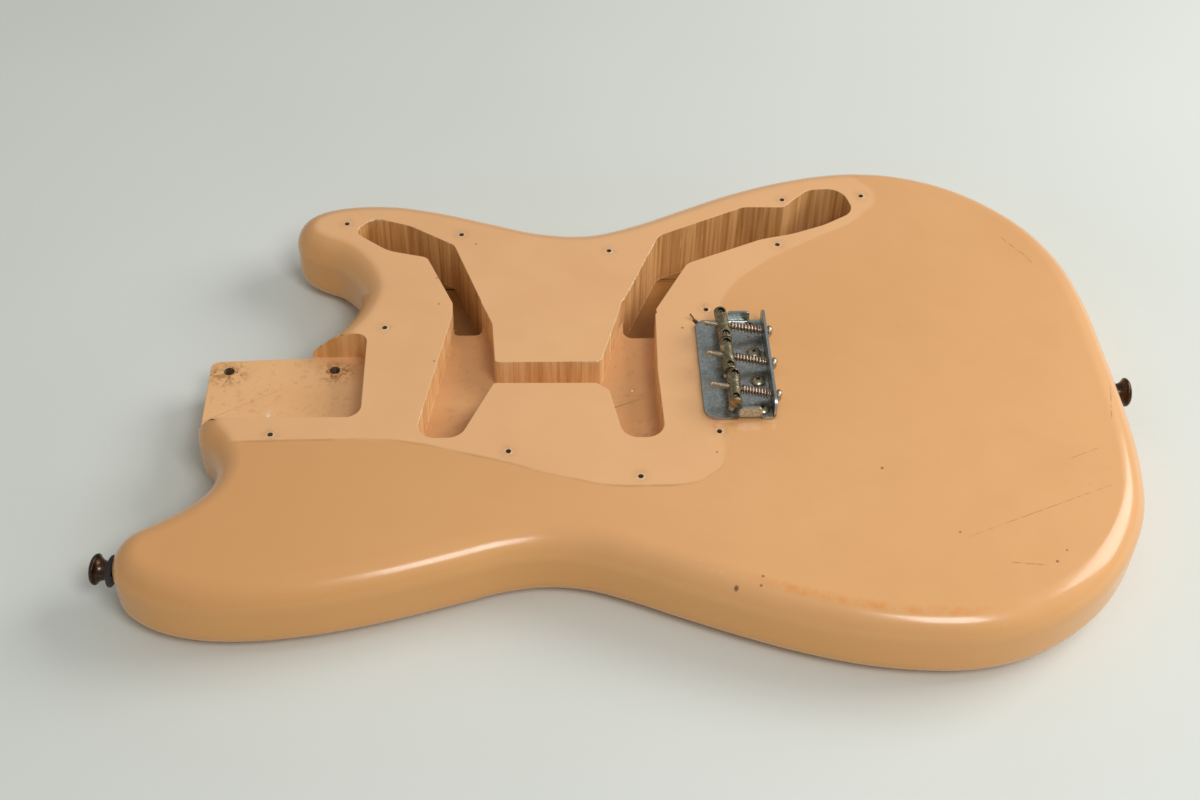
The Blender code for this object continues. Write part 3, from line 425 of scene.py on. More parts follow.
def cavity_material(name, deep=False, pocket=False):
    """Routed wood under thinner lacquer: upright streaks on the walls, cutter
    marks and dust on the floor."""
    mt = Mat(name, 0.4)
    x, y, z = mt.xyz()
    lay = mt.math("ABSOLUTE", mt.facing())
    floor = mt.span(lay, 0.55, 0.85)
    cloud = mt.noise(30, 4, 0.6)
    fine = mt.noise(260, 5, 0.65)
    if deep:
        # deep floors: dark raw wood, darkened further with painted shade
        fa, fb = (0.27, 0.110, 0.018), (0.46, 0.225, 0.060)
        wa, wb = (0.50, 0.240, 0.070), (0.84, 0.480, 0.190)
    elif pocket:
        fa, fb = (0.84, 0.455, 0.195), (0.90, 0.510, 0.235)
        wa, wb = (0.62, 0.320, 0.110), (0.84, 0.470, 0.190)
    else:
        fa, fb = (0.70, 0.360, 0.140), (0.78, 0.425, 0.185)
        wa, wb = (0.66, 0.330, 0.110), (0.95, 0.600, 0.290)
    fcol = mt.mix(mt.span(cloud, 0.3, 0.7), fa, fb)
    # painted shade: the floors grow darker towards the neck, away from the lamps
    fcol = mt.mix(mt.span(x, (130 - ORIGIN_X) * MM, (10 - ORIGIN_X) * MM, 0.0, 0.65 if deep else (0.0 if pocket else 0.30)), fcol, (0.16, 0.055, 0.004) if deep else (0.42, 0.20, 0.07))
    fcol = mt.mix(mt.span(fine, 0.55, 0.8, 0, 0.5), fcol, (0.40, 0.20, 0.08))
    # upright grain: fast across, slow down the wall
    grain = mt.noise(1.0, 3, 0.6, mt.scaled((560, 560, 14)))
    broad = mt.noise(1.0, 2, 0.5, mt.scaled((170, 170, 6)))
    wcol = mt.mix(mt.span(mt.math("ADD", mt.times(grain, 0.65), mt.times(broad, 0.35)), 0.38, 0.60), wa, wb)
    if not pocket:
        # dark torn fibres
        torn = mt.span(mt.noise(1.0, 4, 0.7, mt.scaled((640, 640, 90))), 0.62, 0.72)
        wcol = mt.mix(mt.times(torn, mt.span(mt.noise(40, 2), 0.48, 0.6), 0.7), wcol, (0.16, 0.07, 0.025))
    wcol = mt.mix(mt.times(mt.span(mt.noise(1.0, 3, 0.6, mt.scaled((500, 500, 60), (0.5, 0.2, 0))), 0.66, 0.74), 0.6), wcol, (0.80, 0.60, 0.38))
    col = mt.mix(floor, wcol, fcol)
    specks = mt.times(mt.span(mt.cells(330), 0.09, 0.04), mt.span(mt.noise(45, 2), 0.52, 0.62))
    col = mt.mix(mt.times(specks, 0.8), col, (0.13, 0.06, 0.025))
    cream = mt.times(mt.span(mt.cells(210, mt.scaled((1, 1, 1), (0.7, 0.2, 0))), 0.07, 0.04), mt.span(mt.noise(37, 2), 0.55, 0.63))
    col = mt.mix(mt.times(cream, 0.8), col, (0.88, 0.76, 0.58))
    if not deep and not pocket:
        # darker, mottled patches at the foot of the near walls of both pickup routs
        dark_patches = mt.times(mt.most(mt.spot(128.5, -33, 6.5, 4.5), mt.spot(46, -33, 4, 3)), mt.span(mt.noise(420, 4, 0.7), 0.50, 0.62))
        col = mt.mix(mt.times(dark_patches, 0.6), col, (0.20, 0.10, 0.04))
        white = mt.spot(126.0, 2.5, 0.55, 0.2)
        col = mt.mix(mt.times(white, floor), col, (0.90, 0.86, 0.78))
    if pocket:
        # torn, stained wood round the screw holes
        for hx, hy, r in ((-66.9, 16.8, 7.6), (-15.6, 17.4, 7.0)):
            body_ = mt.spot(hx, hy, r, 3.2, squash=(0.9, 1.1, 1))
            mott = mt.noise(230, 5, 0.7, None, 1.2)
            col = mt.mix(mt.times(body_, mt.span(mott, 0.46, 0.56), 0.85), col, (0.42, 0.185, 0.045))
            col = mt.mix(mt.times(body_, mt.span(mt.noise(520, 4, 0.7), 0.56, 0.64), 0.8), col, (0.17, 0.075, 0.025))
            col = mt.mix(mt.times(mt.spot(hx, hy + 1.6, 4.2, 1.0), mt.span(mt.noise(380, 4, 0.6, mt.scaled((1, 1, 1), (0.4, 0.9, 0))), 0.50, 0.58), 0.7), col, (0.66, 0.42, 0.20))
        for hx, hy in ((-66.6, -19.0), (-16.2, -19.0)):
            col = mt.mix(mt.times(mt.spot(hx, hy, 5.0, 3.0), mt.span(mt.noise(300, 5, 0.7), 0.52, 0.6), 0.7), col, (0.36, 0.17, 0.05))
        chips = mt.most(mt.spot(-72.5, -24.6, 2.4, 1.0), mt.spot(-64.0, -25.2, 1.6, 0.8, squash=(0.5, 1, 1)),
                        mt.spot(-45.0, -14.0, 2.2, 1.3, squash=(1.6, 0.45, 1)), mt.spot(-2.6, -25.0, 1.5, 0.6))
        col = mt.mix(mt.times(chips, mt.span(mt.noise(520, 4, 0.65), 0.50, 0.55)), col, (0.90, 0.80, 0.64))
        col = mt.mix(mt.times(mt.spot(-70.0, -25.0, 3.2, 1.4), mt.span(mt.noise(300, 3), 0.48, 0.55), 0.8), col, (0.42, 0.20, 0.06))
    rims = mt.most(mt.spot(-6, 108, 11, 3), mt.spot(118, 26, 13, 8), mt.spot(124, 60, 16, 6), mt.spot(137, 88, 12, 5),
                   mt.spot(214, 108, 10, 6), mt.spot(108, 6, 6, 3), mt.spot(28, -30, 9, 5), mt.spot(0, -27, 4, 2),
                   mt.spot(-74, -26, 7, 3), mt.spot(56, 44, 10, 6))
    col = cream_rims(mt, col, z, rims)
    mt.base(col)
    mt.rough(mt.span(fine, 0.3, 0.75, 0.32, 0.55))
    h = mt.math("ADD", mt.times(grain, mt.math("SUBTRACT", 1.0, floor), 1.0), mt.times(fine, 0.25))
    mt.normal(mt.bump(h, 0.35 if pocket else 0.5, 0.0005))
    return mt.m


def hole_material():
    mt = Mat("hole_wood", 0.8)
    g = mt.noise(1.0, 3, 0.6, mt.scaled((900, 900, 60)))
    mt.base(mt.mix(mt.span(g, 0.35, 0.65), (0.10, 0.055, 0.025), (0.30, 0.18, 0.09)))
    mt.normal(mt.bump(g, 0.5, 0.0004))
    return mt.m


def metal(name, colour, dark, rough, scale=900, spots=(0.10, 0.05, 0.02), amount=0.4, bump=0.12, depth=0.0002):
    mt = Mat(name, rough, 1.0, colour)
    a = mt.noise(scale, 6, 0.65)
    b = mt.noise(scale * 0.22, 4, 0.6)
    col = mt.mix(mt.span(a, 0.35, 0.7), colour, dark)
    col = mt.mix(mt.times(mt.span(b, 0.52, 0.66), amount), col, spots)
    mt.base(col)
    mt.rough(mt.span(a, 0.3, 0.75, rough * 0.7, min(1.0, rough * 1.6)))
    mt.normal(mt.bump(a, bump, depth))
    return mt.m


def plate_material():
    """Worn bluish plating: mottled grey face, darker mottling under the saddles and in the bend, rust freckles."""
    mt = Mat("dull_plating", 0.3, 1.0)
    x, y, z = mt.xyz()
    a = mt.noise(900, 6, 0.7)
    b = mt.noise(150, 4, 0.6)
    brushed = mt.noise(1.0, 3, 0.6, mt.scaled((60, 1500, 60)))
    col = mt.mix(mt.span(a, 0.35, 0.65), (0.60, 0.66, 0.66), (0.36, 0.38, 0.36))
    col = mt.mix(mt.span(b, 0.48, 0.66, 0, 0.6), col, (0.30, 0.30, 0.26))
    # darker mottling low on the plate, under the saddles and along the bend
    dark_mottle = mt.times(mt.span(mt.noise(300, 5, 0.7), 0.42, 0.62), mt.span(z, 0.0424, 0.0405))
    zone = mt.most(mt.span(x, (183.5 - ORIGIN_X) * MM, (188.6 - ORIGIN_X) * MM), mt.times(mt.span(x, (163.5 - ORIGIN_X) * MM, (168 - ORIGIN_X) * MM), mt.span(x, (174.5 - ORIGIN_X) * MM, (171 - ORIGIN_X) * MM)))
    col = mt.mix(mt.times(dark_mottle, zone, 0.75), col, (0.10, 0.075, 0.045))
    rust = mt.times(mt.most(mt.spot(181.4, 20.3, 1.6, 0.9), mt.spot(183.4, 9.3, 4.6, 1.2), mt.spot(183.5, -9.2, 4.6, 1.2), mt.spot(183.8, -27.4, 4.8, 1.2), mt.spot(162.5, 31.0, 3.0, 1.5)),
                    mt.span(mt.noise(600, 5, 0.7), 0.47, 0.58))
    col = mt.mix(mt.times(rust, 0.8), col, (0.22, 0.10, 0.035))
    mt.base(col)
    mt.rough(mt.span(mt.math("ADD", mt.times(a, 0.5), mt.times(b, 0.5)), 0.35, 0.65, 0.22, 0.46))
    mt.normal(mt.bump(mt.math("ADD", mt.times(brushed, 0.4), a), 0.10, 0.0002))
    return mt.m


def brass_material():
    """Old saddle brass: khaki brown with cut marks and rubbed bright spots."""
    mt = Mat("aged_brass", 0.4, 1.0)
    a = mt.noise(700, 6, 0.7)
    b = mt.noise(260, 5, 0.65, None, 0.8)
    col = mt.mix(mt.span(a, 0.35, 0.65), (0.36, 0.29, 0.17), (0.15, 0.115, 0.065))
    col = mt.mix(mt.span(b, 0.56, 0.66, 0, 0.9), col, (0.62, 0.53, 0.38))
    col = mt.mix(mt.span(mt.noise(420, 4, 0.6, mt.scaled((1, 1, 1), (0.2, 0.5, 0))), 0.60, 0.70, 0, 0.8), col, (0.07, 0.05, 0.03))
    mt.base(col)
    mt.rough(mt.span(b, 0.4, 0.65, 0.5, 0.25))
    mt.normal(mt.bump(mt.math("ADD", b, mt.times(a, 0.5)), 0.9, 0.0004))
    return mt.m


def felt_material():
    mt = Mat("pressed_felt", 0.95, 0.0, (0.012, 0.011, 0.010))
    a = mt.noise(2500, 4, 0.7)
    mt.base(mt.mix(mt.span(a, 0.35, 0.7), (0.008, 0.008, 0.008), (0.035, 0.032, 0.03)))
    mt.normal(mt.bump(a, 0.6, 0.0004))
    mt.b.inputs["Sheen Weight"].default_value = 0.3
    return mt.m


LACQUER = body_material()
SHALLOW_MAT = cavity_material("routed_shallow")
POCKET_MAT = cavity_material("neck_pocket", pocket=True)
DEEP_MAT = cavity_material("routed_deep", deep=True)
HOLE_MAT = hole_material()
PLATE = plate_material()
BRASS = brass_material()
COPPER = metal("cut_brass_end", (0.66, 0.40, 0.26), (0.42, 0.24, 0.15), 0.22, 900, (0.25, 0.12, 0.06), 0.3, 0.25)
SCREW = metal("worn_nickel", (0.60, 0.50, 0.38), (0.34, 0.27, 0.18), 0.30, 1200, (0.12, 0.07, 0.035), 0.5)
OLIVE = metal("plate_screw_brass", (0.52, 0.46, 0.32), (0.30, 0.25, 0.15), 0.3, 1000, (0.10, 0.06, 0.03), 0.6)
DIRT = metal("recess_dirt", (0.10, 0.07, 0.04), (0.05, 0.035, 0.02), 0.7, 900, (0.03, 0.02, 0.01), 0.5)
SILVER = metal("bright_nickel", (0.80, 0.79, 0.76), (0.58, 0.55, 0.50), 0.18, 1200, (0.2, 0.15, 0.1), 0.2)
SPRING = metal("spring_wire", (0.80, 0.62, 0.50), (0.50, 0.35, 0.27), 0.24, 1600, (0.16, 0.09, 0.05), 0.3)
BRONZE = metal("dark_bronze", (0.095, 0.060, 0.042), (0.04, 0.025, 0.02), 0.26, 900, (0.22, 0.12, 0.06), 0.25)
WIRE = metal("tinned_wire", (0.17, 0.12, 0.085), (0.09, 0.06, 0.04), 0.45, 2000)
FELT = felt_material()


def curve_mesh(curve, name):
    """Evaluate a curve object to a welded mesh and drop the curve."""
    bpy.context.view_layer.update()
    dg = bpy.context.evaluated_depsgraph_get()
    mesh = bpy.data.meshes.new_from_object(curve.evaluated_get(dg))
    mesh.name = name
    bm = bmesh.new()
    bm.from_mesh(mesh)
    bmesh.ops.remove_doubles(bm, verts=bm.verts, dist=1e-6)
    bmesh.ops.recalc_face_normals(bm, faces=bm.faces)
    bm.to_mesh(mesh)
    bm.free()
    mesh.transform(curve.matrix_world)
    bpy.data.objects.remove(curve, do_unlink=True)
    return mesh


def slab(name, outline, z0, z1, caps_whole=False):
    """Closed slab between two heights from a flat outline in millimetres."""
    cu = bpy.data.curves.new(name, "CURVE")
    cu.dimensions = "2D"
    cu.fill_mode = "BOTH"
    cu.extrude = (z1 - z0) / 2 * MM
    sp = cu.splines.new("POLY")
    sp.points.add(len(outline) - 1)
    for q, (x, y) in zip(sp.points, outline):
        q.co = (x * MM, y * MM, 0, 1)
    sp.use_cyclic_u = True
    ob = bpy.data.objects.new(name, cu)
    ob.location = (0, 0, (z0 + z1) / 2 * MM)
    bpy.context.scene.collection.objects.link(ob)
    mesh = curve_mesh(ob, name)
    if caps_whole:
        bm = bmesh.new()
        bm.from_mesh(mesh)
        inner = [e for e in bm.edges if len(e.link_faces) == 2
                 and all(abs(f.normal.z) > 0.9 for f in e.link_faces)]
        bmesh.ops.dissolve_edges(bm, edges=inner, use_verts=False)
        bm.to_mesh(mesh)
        bm.free()
    return mesh


def rounded(corners, step=15):
    """Polygon with each corner (x, y, radius) replaced by an arc."""
    out = []
    n = len(corners)
    for i, (x, y, r) in enumerate(corners):
        p = np.array([x, y], float)
        a = np.array(corners[i - 1][:2], float) - p
        b = np.array(corners[(i + 1) % n][:2], float) - p
        la, lb = np.linalg.norm(a), np.linalg.norm(b)
        a, b = a / la, b / lb
        half = math.acos(max(-1, min(1, float(a @ b)))) / 2
        if r <= 0 or half > math.radians(88):
            out.append((x, y))
            continue
        t = min(r / math.tan(half), 0.49 * la, 0.49 * lb)
        r = t * math.tan(half)
        c = p + (a + b) / np.linalg.norm(a + b) * (r / math.sin(half))
        s, e = p + a * t - c, p + b * t - c
        a0 = math.atan2(s[1], s[0])
        d = math.atan2(s[0] * e[1] - s[1] * e[0], float(s @ e))
        k = max(1, round(abs(math.degrees(d)) / step))
        for j in range(k + 1):
            w = a0 + d * j / k
            out.append((c[0] + r * math.cos(w), c[1] + r * math.sin(w)))
    return out


def ease(pts, radius=EDGE_R + 1.6, step=1.2, rounds=1500):
    """Even out the path and open every convex bend to the given radius, so
    that the round-over has room inside it."""
    a = np.array(pts)
    s = np.concatenate(([0], np.cumsum(np.linalg.norm(np.diff(a, axis=0), axis=1))))
    t = np.linspace(0, s[-1], int(s[-1] / step) + 1)
    a = np.column_stack([np.interp(t, s, a[:, i]) for i in range(2)])
    for _ in range(rounds):
        u, v = a[1:-1] - a[:-2], a[2:] - a[1:-1]
        turn = np.arctan2(u[:, 1] * v[:, 0] - u[:, 0] * v[:, 1], (u * v).sum(1))
        tight = (np.linalg.norm(u, axis=1) + np.linalg.norm(v, axis=1)) / 2 / np.maximum(turn, 1e-9) < radius
        if not tight.any():
            break
        wide = tight.copy()
        wide[1:] |= tight[:-1]
        wide[:-1] |= tight[1:]
        a[1:-1][wide] += 0.3 * ((a[:-2] + a[2:]) / 2 - a[1:-1])[wide]
    return list(a)


def smooth_path(stations, turn=8.0, reach=15.0, dense=30):
    """Centripetal Catmull-Rom through the stations, thinned by curvature."""
    q = [np.array(s, float) for s in stations]
    q = [2 * q[0] - q[1]] + q + [2 * q[-1] - q[-2]]
    pts = []
    for i in range(1, len(q) - 2):
        p0, p1, p2, p3 = q[i - 1:i + 3]
        t = [0.0]
        for u, v in ((p0, p1), (p1, p2), (p2, p3)):
            t.append(t[-1] + math.sqrt(np.linalg.norm(v - u)))
        for k in range(dense):
            s = t[1] + (t[2] - t[1]) * k / dense
            a1 = (t[1] - s) / (t[1] - t[0]) * p0 + (s - t[0]) / (t[1] - t[0]) * p1
            a2 = (t[2] - s) / (t[2] - t[1]) * p1 + (s - t[1]) / (t[2] - t[1]) * p2
            a3 = (t[3] - s) / (t[3] - t[2]) * p2 + (s - t[2]) / (t[3] - t[2]) * p3
            b1 = (t[2] - s) / (t[2] - t[0]) * a1 + (s - t[0]) / (t[2] - t[0]) * a2
            b2 = (t[3] - s) / (t[3] - t[1]) * a2 + (s - t[1]) / (t[3] - t[1]) * a3
            pts.append((t[2] - s) / (t[2] - t[1]) * b1 + (s - t[1]) / (t[2] - t[1]) * b2)
    pts.append(q[-2])
    pts = ease(pts)
    keep, turned, gone = [pts[0]], 0.0, 0.0
    for i in range(1, len(pts) - 1):
        u, v = pts[i] - pts[i - 1], pts[i + 1] - pts[i]
        turned += abs(math.degrees(math.atan2(u[0] * v[1] - u[1] * v[0], float(u @ v))))
        gone += np.linalg.norm(u)
        if turned >= turn or gone >= reach:
            keep.append(pts[i])
            turned = gone = 0.0
    keep.append(pts[-1])
    return [(float(a), float(b)) for a, b in keep]


def shift(outline):
    return [(x - ORIGIN_X, y - ORIGIN_Y) for x, y in outline]


def arc(cx, cz, r, a0, a1, k):
    """Points on an arc in the (radius, z) plane, angles in degrees."""
    return [(cx + r * math.cos(math.radians(a0 + (a1 - a0) * i / k)),
             cz + r * math.sin(math.radians(a0 + (a1 - a0) * i / k)))
            for i in range(k + 1)]


def frame_at(origin, x_axis, z_hint):
    """Right-handed frame with local X on x_axis and local Z near z_hint."""
    x = Vector(x_axis).normalized()
    y = Vector(z_hint).cross(x).normalized()
    z = x.cross(y)
    m = Matrix((x, y, z)).transposed().to_4x4()
    m.translation = origin
    return m


# ----------------------------------------------------------- mesh utilities
def bake(o):
    """Evaluated mesh of an object in world space; the object is dropped."""
    bpy.context.view_layer.update()
    dg = bpy.context.evaluated_depsgraph_get()
    mesh = bpy.data.meshes.new_from_object(o.evaluated_get(dg), preserve_all_data_layers=True, depsgraph=dg)
    mesh.transform(o.matrix_world)
    bpy.data.objects.remove(o, do_unlink=True)
    return mesh


def hold(name, mesh):
    o = bpy.data.objects.new(name, mesh)
    scene.collection.objects.link(o)
    return o


def paint(mesh, mat):
    mesh.materials.clear()
    mesh.materials.append(mat)
    return mesh


def carve(mesh, tools, how="DIFFERENCE"):
    """Cut or join closed meshes; each tool leaves its own material behind."""
    o = hold("carved", mesh)
    held = [hold("tool", t) for t in tools]
    for t in held:
        m = o.modifiers.new("cut", "BOOLEAN")
        m.operation = how
        m.object = t
        m.solver = "EXACT"
        m.material_mode = "TRANSFER"
    out = bake(o)
    for t in held:
        bpy.data.objects.remove(t, do_unlink=True)
    return out


def soften(mesh, width, segments=2, angle=40):
    """Bevel the sharp edges and even the normals."""
    o = hold("softened", mesh)
    m = o.modifiers.new("edge", "BEVEL")
    m.width = width * MM
    m.segments = segments
    m.limit_method = "ANGLE"
    m.angle_limit = math.radians(angle)
    m.use_clamp_overlap = True
    mesh.shade_smooth()
    o.modifiers.new("even", "WEIGHTED_NORMAL")
    return bake(o)


def smoothed(mesh, angle=35):
    mesh.shade_smooth()
    mesh.set_sharp_from_angle(angle=math.radians(angle))
    return mesh


def piece(name, mesh, body, node):
    o = hold(name, mesh)
    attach(o, body)
    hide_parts(node)
    return o


def rod(radius, length, sides, radius2=None):
    """Cylinder or cone along +Z, its base at z = 0."""
    bm = bmesh.new()
    bmesh.ops.create_cone(bm, cap_ends=True, segments=sides, radius1=radius * MM,
                          radius2=(radius if radius2 is None else radius2) * MM, depth=length * MM)
    bmesh.ops.translate(bm, verts=bm.verts, vec=(0, 0, length / 2 * MM))
    mesh = bpy.data.meshes.new("rod")
    bm.to_mesh(mesh)
    bm.free()
    return mesh


def wedge(size, centre, narrow=1.0):
    """Box whose lower face is narrower along X, for cross and slot recesses."""
    bm = bmesh.new()
    bmesh.ops.create_cube(bm, size=1)
    bmesh.ops.scale(bm, verts=bm.verts, vec=[s * MM for s in size])
    for v in bm.verts:
        if v.co.z < 0:
            v.co.x *= narrow
    bmesh.ops.translate(bm, verts=bm.verts, vec=[c * MM for c in centre])
    mesh = bpy.data.meshes.new("wedge")
    bm.to_mesh(mesh)
    bm.free()
    return mesh


def moved(mesh, matrix):
    mesh.transform(matrix)
    return mesh


def lathe(profile, steps=72, closed=False):
    """Turned solid about local Z from a profile (radius, z), top to bottom."""
    mesh = bpy.data.meshes.new("turned")
    n = len(profile)
    edges = [(i, i + 1) for i in range(n - 1)] + ([(n - 1, 0)] if closed else [])
    mesh.from_pydata([(r * MM, 0, z * MM) for r, z in profile], edges, [])
    o = hold("turned", mesh)
    s = o.modifiers.new("turn", "SCREW")
    s.axis = "Z"
    s.angle = 2 * math.pi
    s.steps = s.render_steps = steps
    s.use_merge_vertices = True
    s.merge_threshold = 1e-6
    return bake(o)


def threaded(rows, pitch=0.635, depth=0.2, around=44):
    """Closed turned rod from rows (z, radius, threaded share); the thread is
    a helix that runs out where the share falls to 0."""
    bm = bmesh.new()
    rings = []
    for z, r, share in rows:
        ring = []
        for j in range(around):
            w = (z / pitch - j / around) % 1.0
            flank = min(1.0, max(0.0, (abs(2 * w - 1) - 0.12) / 0.72))
            q = r - depth * share * (1 - flank)
            a = 2 * math.pi * j / around
            ring.append(bm.verts.new((q * MM * math.cos(a), q * MM * math.sin(a), z * MM)))
        rings.append(ring)
    for lo, hi in zip(rings, rings[1:]):
        for j in range(around):
            bm.faces.new((lo[j], lo[(j + 1) % around], hi[(j + 1) % around], hi[j]))
    for ring in (rings[0], rings[-1]):
        bm.faces.new(ring)
    bmesh.ops.recalc_face_normals(bm, faces=bm.faces)
    mesh = bpy.data.meshes.new("threaded")
    bm.to_mesh(mesh)
    bm.free()
    return mesh


def thread_rows(z0, z1, r, chamfer=0.35, step=0.08):
    """Rows of a threaded stretch with chamfered ends."""
    n = max(4, round((z1 - z0) / step))
    out = []
    for i in range(n + 1):
        z = z0 + (z1 - z0) * i / n
        out.append((z, r - max(0.0, chamfer - (z - z0), chamfer - (z1 - z)), min(1.0, (z - z0) / chamfer, (z1 - z) / chamfer)))
    return out


# --------------------------------------------------------------------- body
def cutter(outline_mm, z0, z1, mat):
    return paint(slab("cutter", shift(outline_mm), z0, z1), mat)


def make_body():
    # the finer outline keeps within the coarser one's box
    path = smooth_path(OUTLINE, turn=2.4, reach=5.0)
    k = min(CAD_BOX[1][1] / MM / max(y - ORIGIN_Y for x, y in path), CAD_BOX[0][1] / MM / min(y - ORIGIN_Y for x, y in path))
    outline = [(x, ORIGIN_Y + (y - ORIGIN_Y) * k) for x, y in path] + [(HEEL_X, 25.6)]
    mesh = paint(slab("shell", shift(outline), 0, BODY_T, caps_whole=True), LACQUER)
    weight = mesh.attributes.new("bevel_weight_edge", "FLOAT", "EDGE")
    bm = bmesh.new()
    bm.from_mesh(mesh)
    bm.edges.ensure_lookup_table()
    for e in bm.edges:
        flat = [abs(f.normal.z) > 0.9 for f in e.link_faces]
        weight.data[e.index].value = 1.0 if any(flat) and not all(flat) else 0.0
    bm.free()
    o = hold("shell", mesh)
    edge = o.modifiers.new("round_over", "BEVEL")
    edge.width = EDGE_R * MM
    edge.segments = 12
    edge.limit_method = "WEIGHT"
    edge.use_clamp_overlap = False
    mesh = bake(o)
    if "bevel_weight_edge" in mesh.attributes:
        mesh.attributes.remove(mesh.attributes["bevel_weight_edge"])
    fine = 6
    tools = [cutter(rounded([
        (-95, -POCKET_MOUTH_HALF, 0), (0, -POCKET_END_HALF, 7.0), (0, POCKET_END_HALF, 5.5),
        (-95, POCKET_END_HALF + 0.3, 0)], fine), TOP - POCKET_DEPTH, TOP + 5, POCKET_MAT)]
    tools.append(cutter(rounded([
        (24.8, -41.5, 8.5), (45.5, -41.0, 8.5), (60.6, -6.7, 2.0), (108.3, -7.4, 2.5),
        (114.1, -11.8, 5.0), (119.8, -42.4, 8.5), (138.6, -42.4, 8.5), (137.3, 0.0, 60.0),
        (138.4, 38.0, 9.0), (138.4, 52.5, 7.0), (123.6, 52.5, 7.0), (119.6, 36.4, 6.0),
        (111.0, 6.6, 3.5), (61.0, 6.9, 2.0), (59.4, 33.8, 9.0), (52.8, 52.0, 6.2),
        (40.2, 52.0, 6.2), (40.0, 38.4, 4.0)], fine), TOP - SHALLOW, TOP + 5, SHALLOW_MAT))
    tools.append(cutter(rounded([
        (40.1, 42.2, 6.4), (54.2, 42.2, 6.4), (53.8, 50.0, 4.0), (39.8, 91.6, 4.0),
        (17.0, 107.0, 20.0), (-1.5, 113.6, 6.5), (-11.5, 103.0, 5.0), (6.8, 88.0, 20.0),
        (26.6, 82.6, 5.0), (40.2, 48.5, 3.0)], fine), TOP - DEEP, TOP + 6, DEEP_MAT))
    tools.append(cutter(rounded([
        (123.4, 38.9, 7.8), (139.4, 38.9, 7.8), (138.9, 42.5, 2.0), (156.5, 76.2, 8.0),
        (195.5, 94.2, 30.0), (212.0, 98.2, 25.0), (229.0, 105.0, 30.0), (246.2, 115.5, 9.0), (241.5, 134.6, 11.0),
        (224.0, 133.6, 12.0), (209.6, 119.4, 4.0), (189.0, 119.8, 8.0), (143.4, 97.5, 7.0),
        (123.6, 48.9, 4.0)], fine), TOP - DEEP, TOP + 7, DEEP_MAT))
    tools.append(cutter([(HEEL_X - 1, 26.8), (HEEL_X - 1, 21.6)] + [
        (HEEL_X + 4 - 4 * math.cos(math.radians(a)), 21.6 + 4 * math.sin(math.radians(a)))
        for a in range(0, 91, 6)] + [(HEEL_X + 4, 26.8)], -1, TOP + 1, LACQUER))
    holes = [(x, y, -1, TOP - POCKET_DEPTH + 1, NECK_HOLE_R, 40) for x, y in NECK_HOLES]
    holes += [(x, y, TOP - PILOT_DEPTH, TOP + 1, PILOT_R, 24) for x, y in PILOTS]
    holes += [(x, y, TOP - 17.5, TOP + 1, 1.75, 24) for x, y in MOUNT_SCREWS]
    for x, y, z0, z1, r, sides in holes:
        tools.append(paint(moved(rod(r, z1 - z0, sides), Matrix.Translation(P(x, y, z0))), HOLE_MAT))
    for a, b, r in ((P(166.5, 22.0, TOP + 1.2), P(137.0, 40.5, TOP - 13.0), 1.5), (P(163.9, 23.6, TOP), P(156.9, 34.4, TOP), 1.0)):
        d = b - a
        tools.append(paint(moved(rod(r, d.length / MM, 24), frame_at(a, d.orthogonal(), d)), HOLE_MAT))
    for x, y, ax, ay in STRAPS.values():
        a = Vector((ax, ay, 0)).normalized()
        tools.append(paint(moved(rod(2.3, 27, 24), frame_at(P(x, y, STRAP_Z) - a * 22 * MM, Vector((0, 0, 1)), a)), HOLE_MAT))
    mesh = carve(mesh, tools)
    o = hold("body_finish", mesh)
    mesh.shade_smooth()
    rim = o.modifiers.new("rim", "BEVEL")
    rim.width = 0.4 * MM
    rim.segments = 2
    rim.limit_method = "ANGLE"
    rim.angle_limit = math.radians(55)
    rim.use_clamp_overlap = False
    even = o.modifiers.new("even", "WEIGHTED_NORMAL")
    even.weight = 80
    return bake(o)


piece("lacquered_body", make_body(), "guitar_body", "body")

# ------------------------------------------------------------- bridge plate
Z0 = TOP + REST_GAP
Z1 = Z0 + SHEET_T
R_IN = 0.8


def section(profile, y0, y1, axis="Y"):
    """Extrude an (x, z) profile along Y, or a (y, z) profile along X."""
    half = (y1 - y0) / 2
    mesh = slab("section", profile, -half, half)
    if axis == "Y":
        m = Matrix(((1, 0, 0, 0), (0, 0, -1, 0), (0, 1, 0, 0), (0, 0, 0, 1)))
        loc = Vector((0, (y0 + half) * MM, 0))
    else:
        m = Matrix(((0, 0, 1, 0), (1, 0, 0, 0), (0, 1, 0, 0), (0, 0, 0, 1)))
        loc = Vector(((y0 + half) * MM, 0, 0))
    return paint(moved(mesh, Matrix.Translation(loc) @ m), PLATE)


def bend(x0, x1, height):
    """Profile of a flat strip that turns up at x1."""
    t = SHEET_T
    s = 1 if x1 > x0 else -1
    ro, ri = R_IN + t, R_IN
    pts = [(x0, Z0)]
    pts += [(x1 - s * ro + s * ro * math.sin(a), Z0 + ro - ro * math.cos(a)) for a in np.radians(np.linspace(0, 90, 13))]
    pts += [(x1, TOP + height), (x1 - s * t, TOP + height)]
    pts += [(x1 - s * ro + s * ri * math.sin(a), Z0 + ro - ri * math.cos(a)) for a in np.radians(np.linspace(90, 0, 9))]
    pts += [(x0, Z1)]
    return pts


def quarter(cx, cz, s, r, k=14):
    """Cutter outline that rounds an outer corner."""
    pts = [(cx + s * r * math.cos(w), cz + r * math.sin(w)) for w in np.radians(np.linspace(0, 90, k))]
    return pts + [(cx, cz + r + 1), (cx + s * (r + 1), cz + r + 1), (cx + s * (r + 1), cz)]


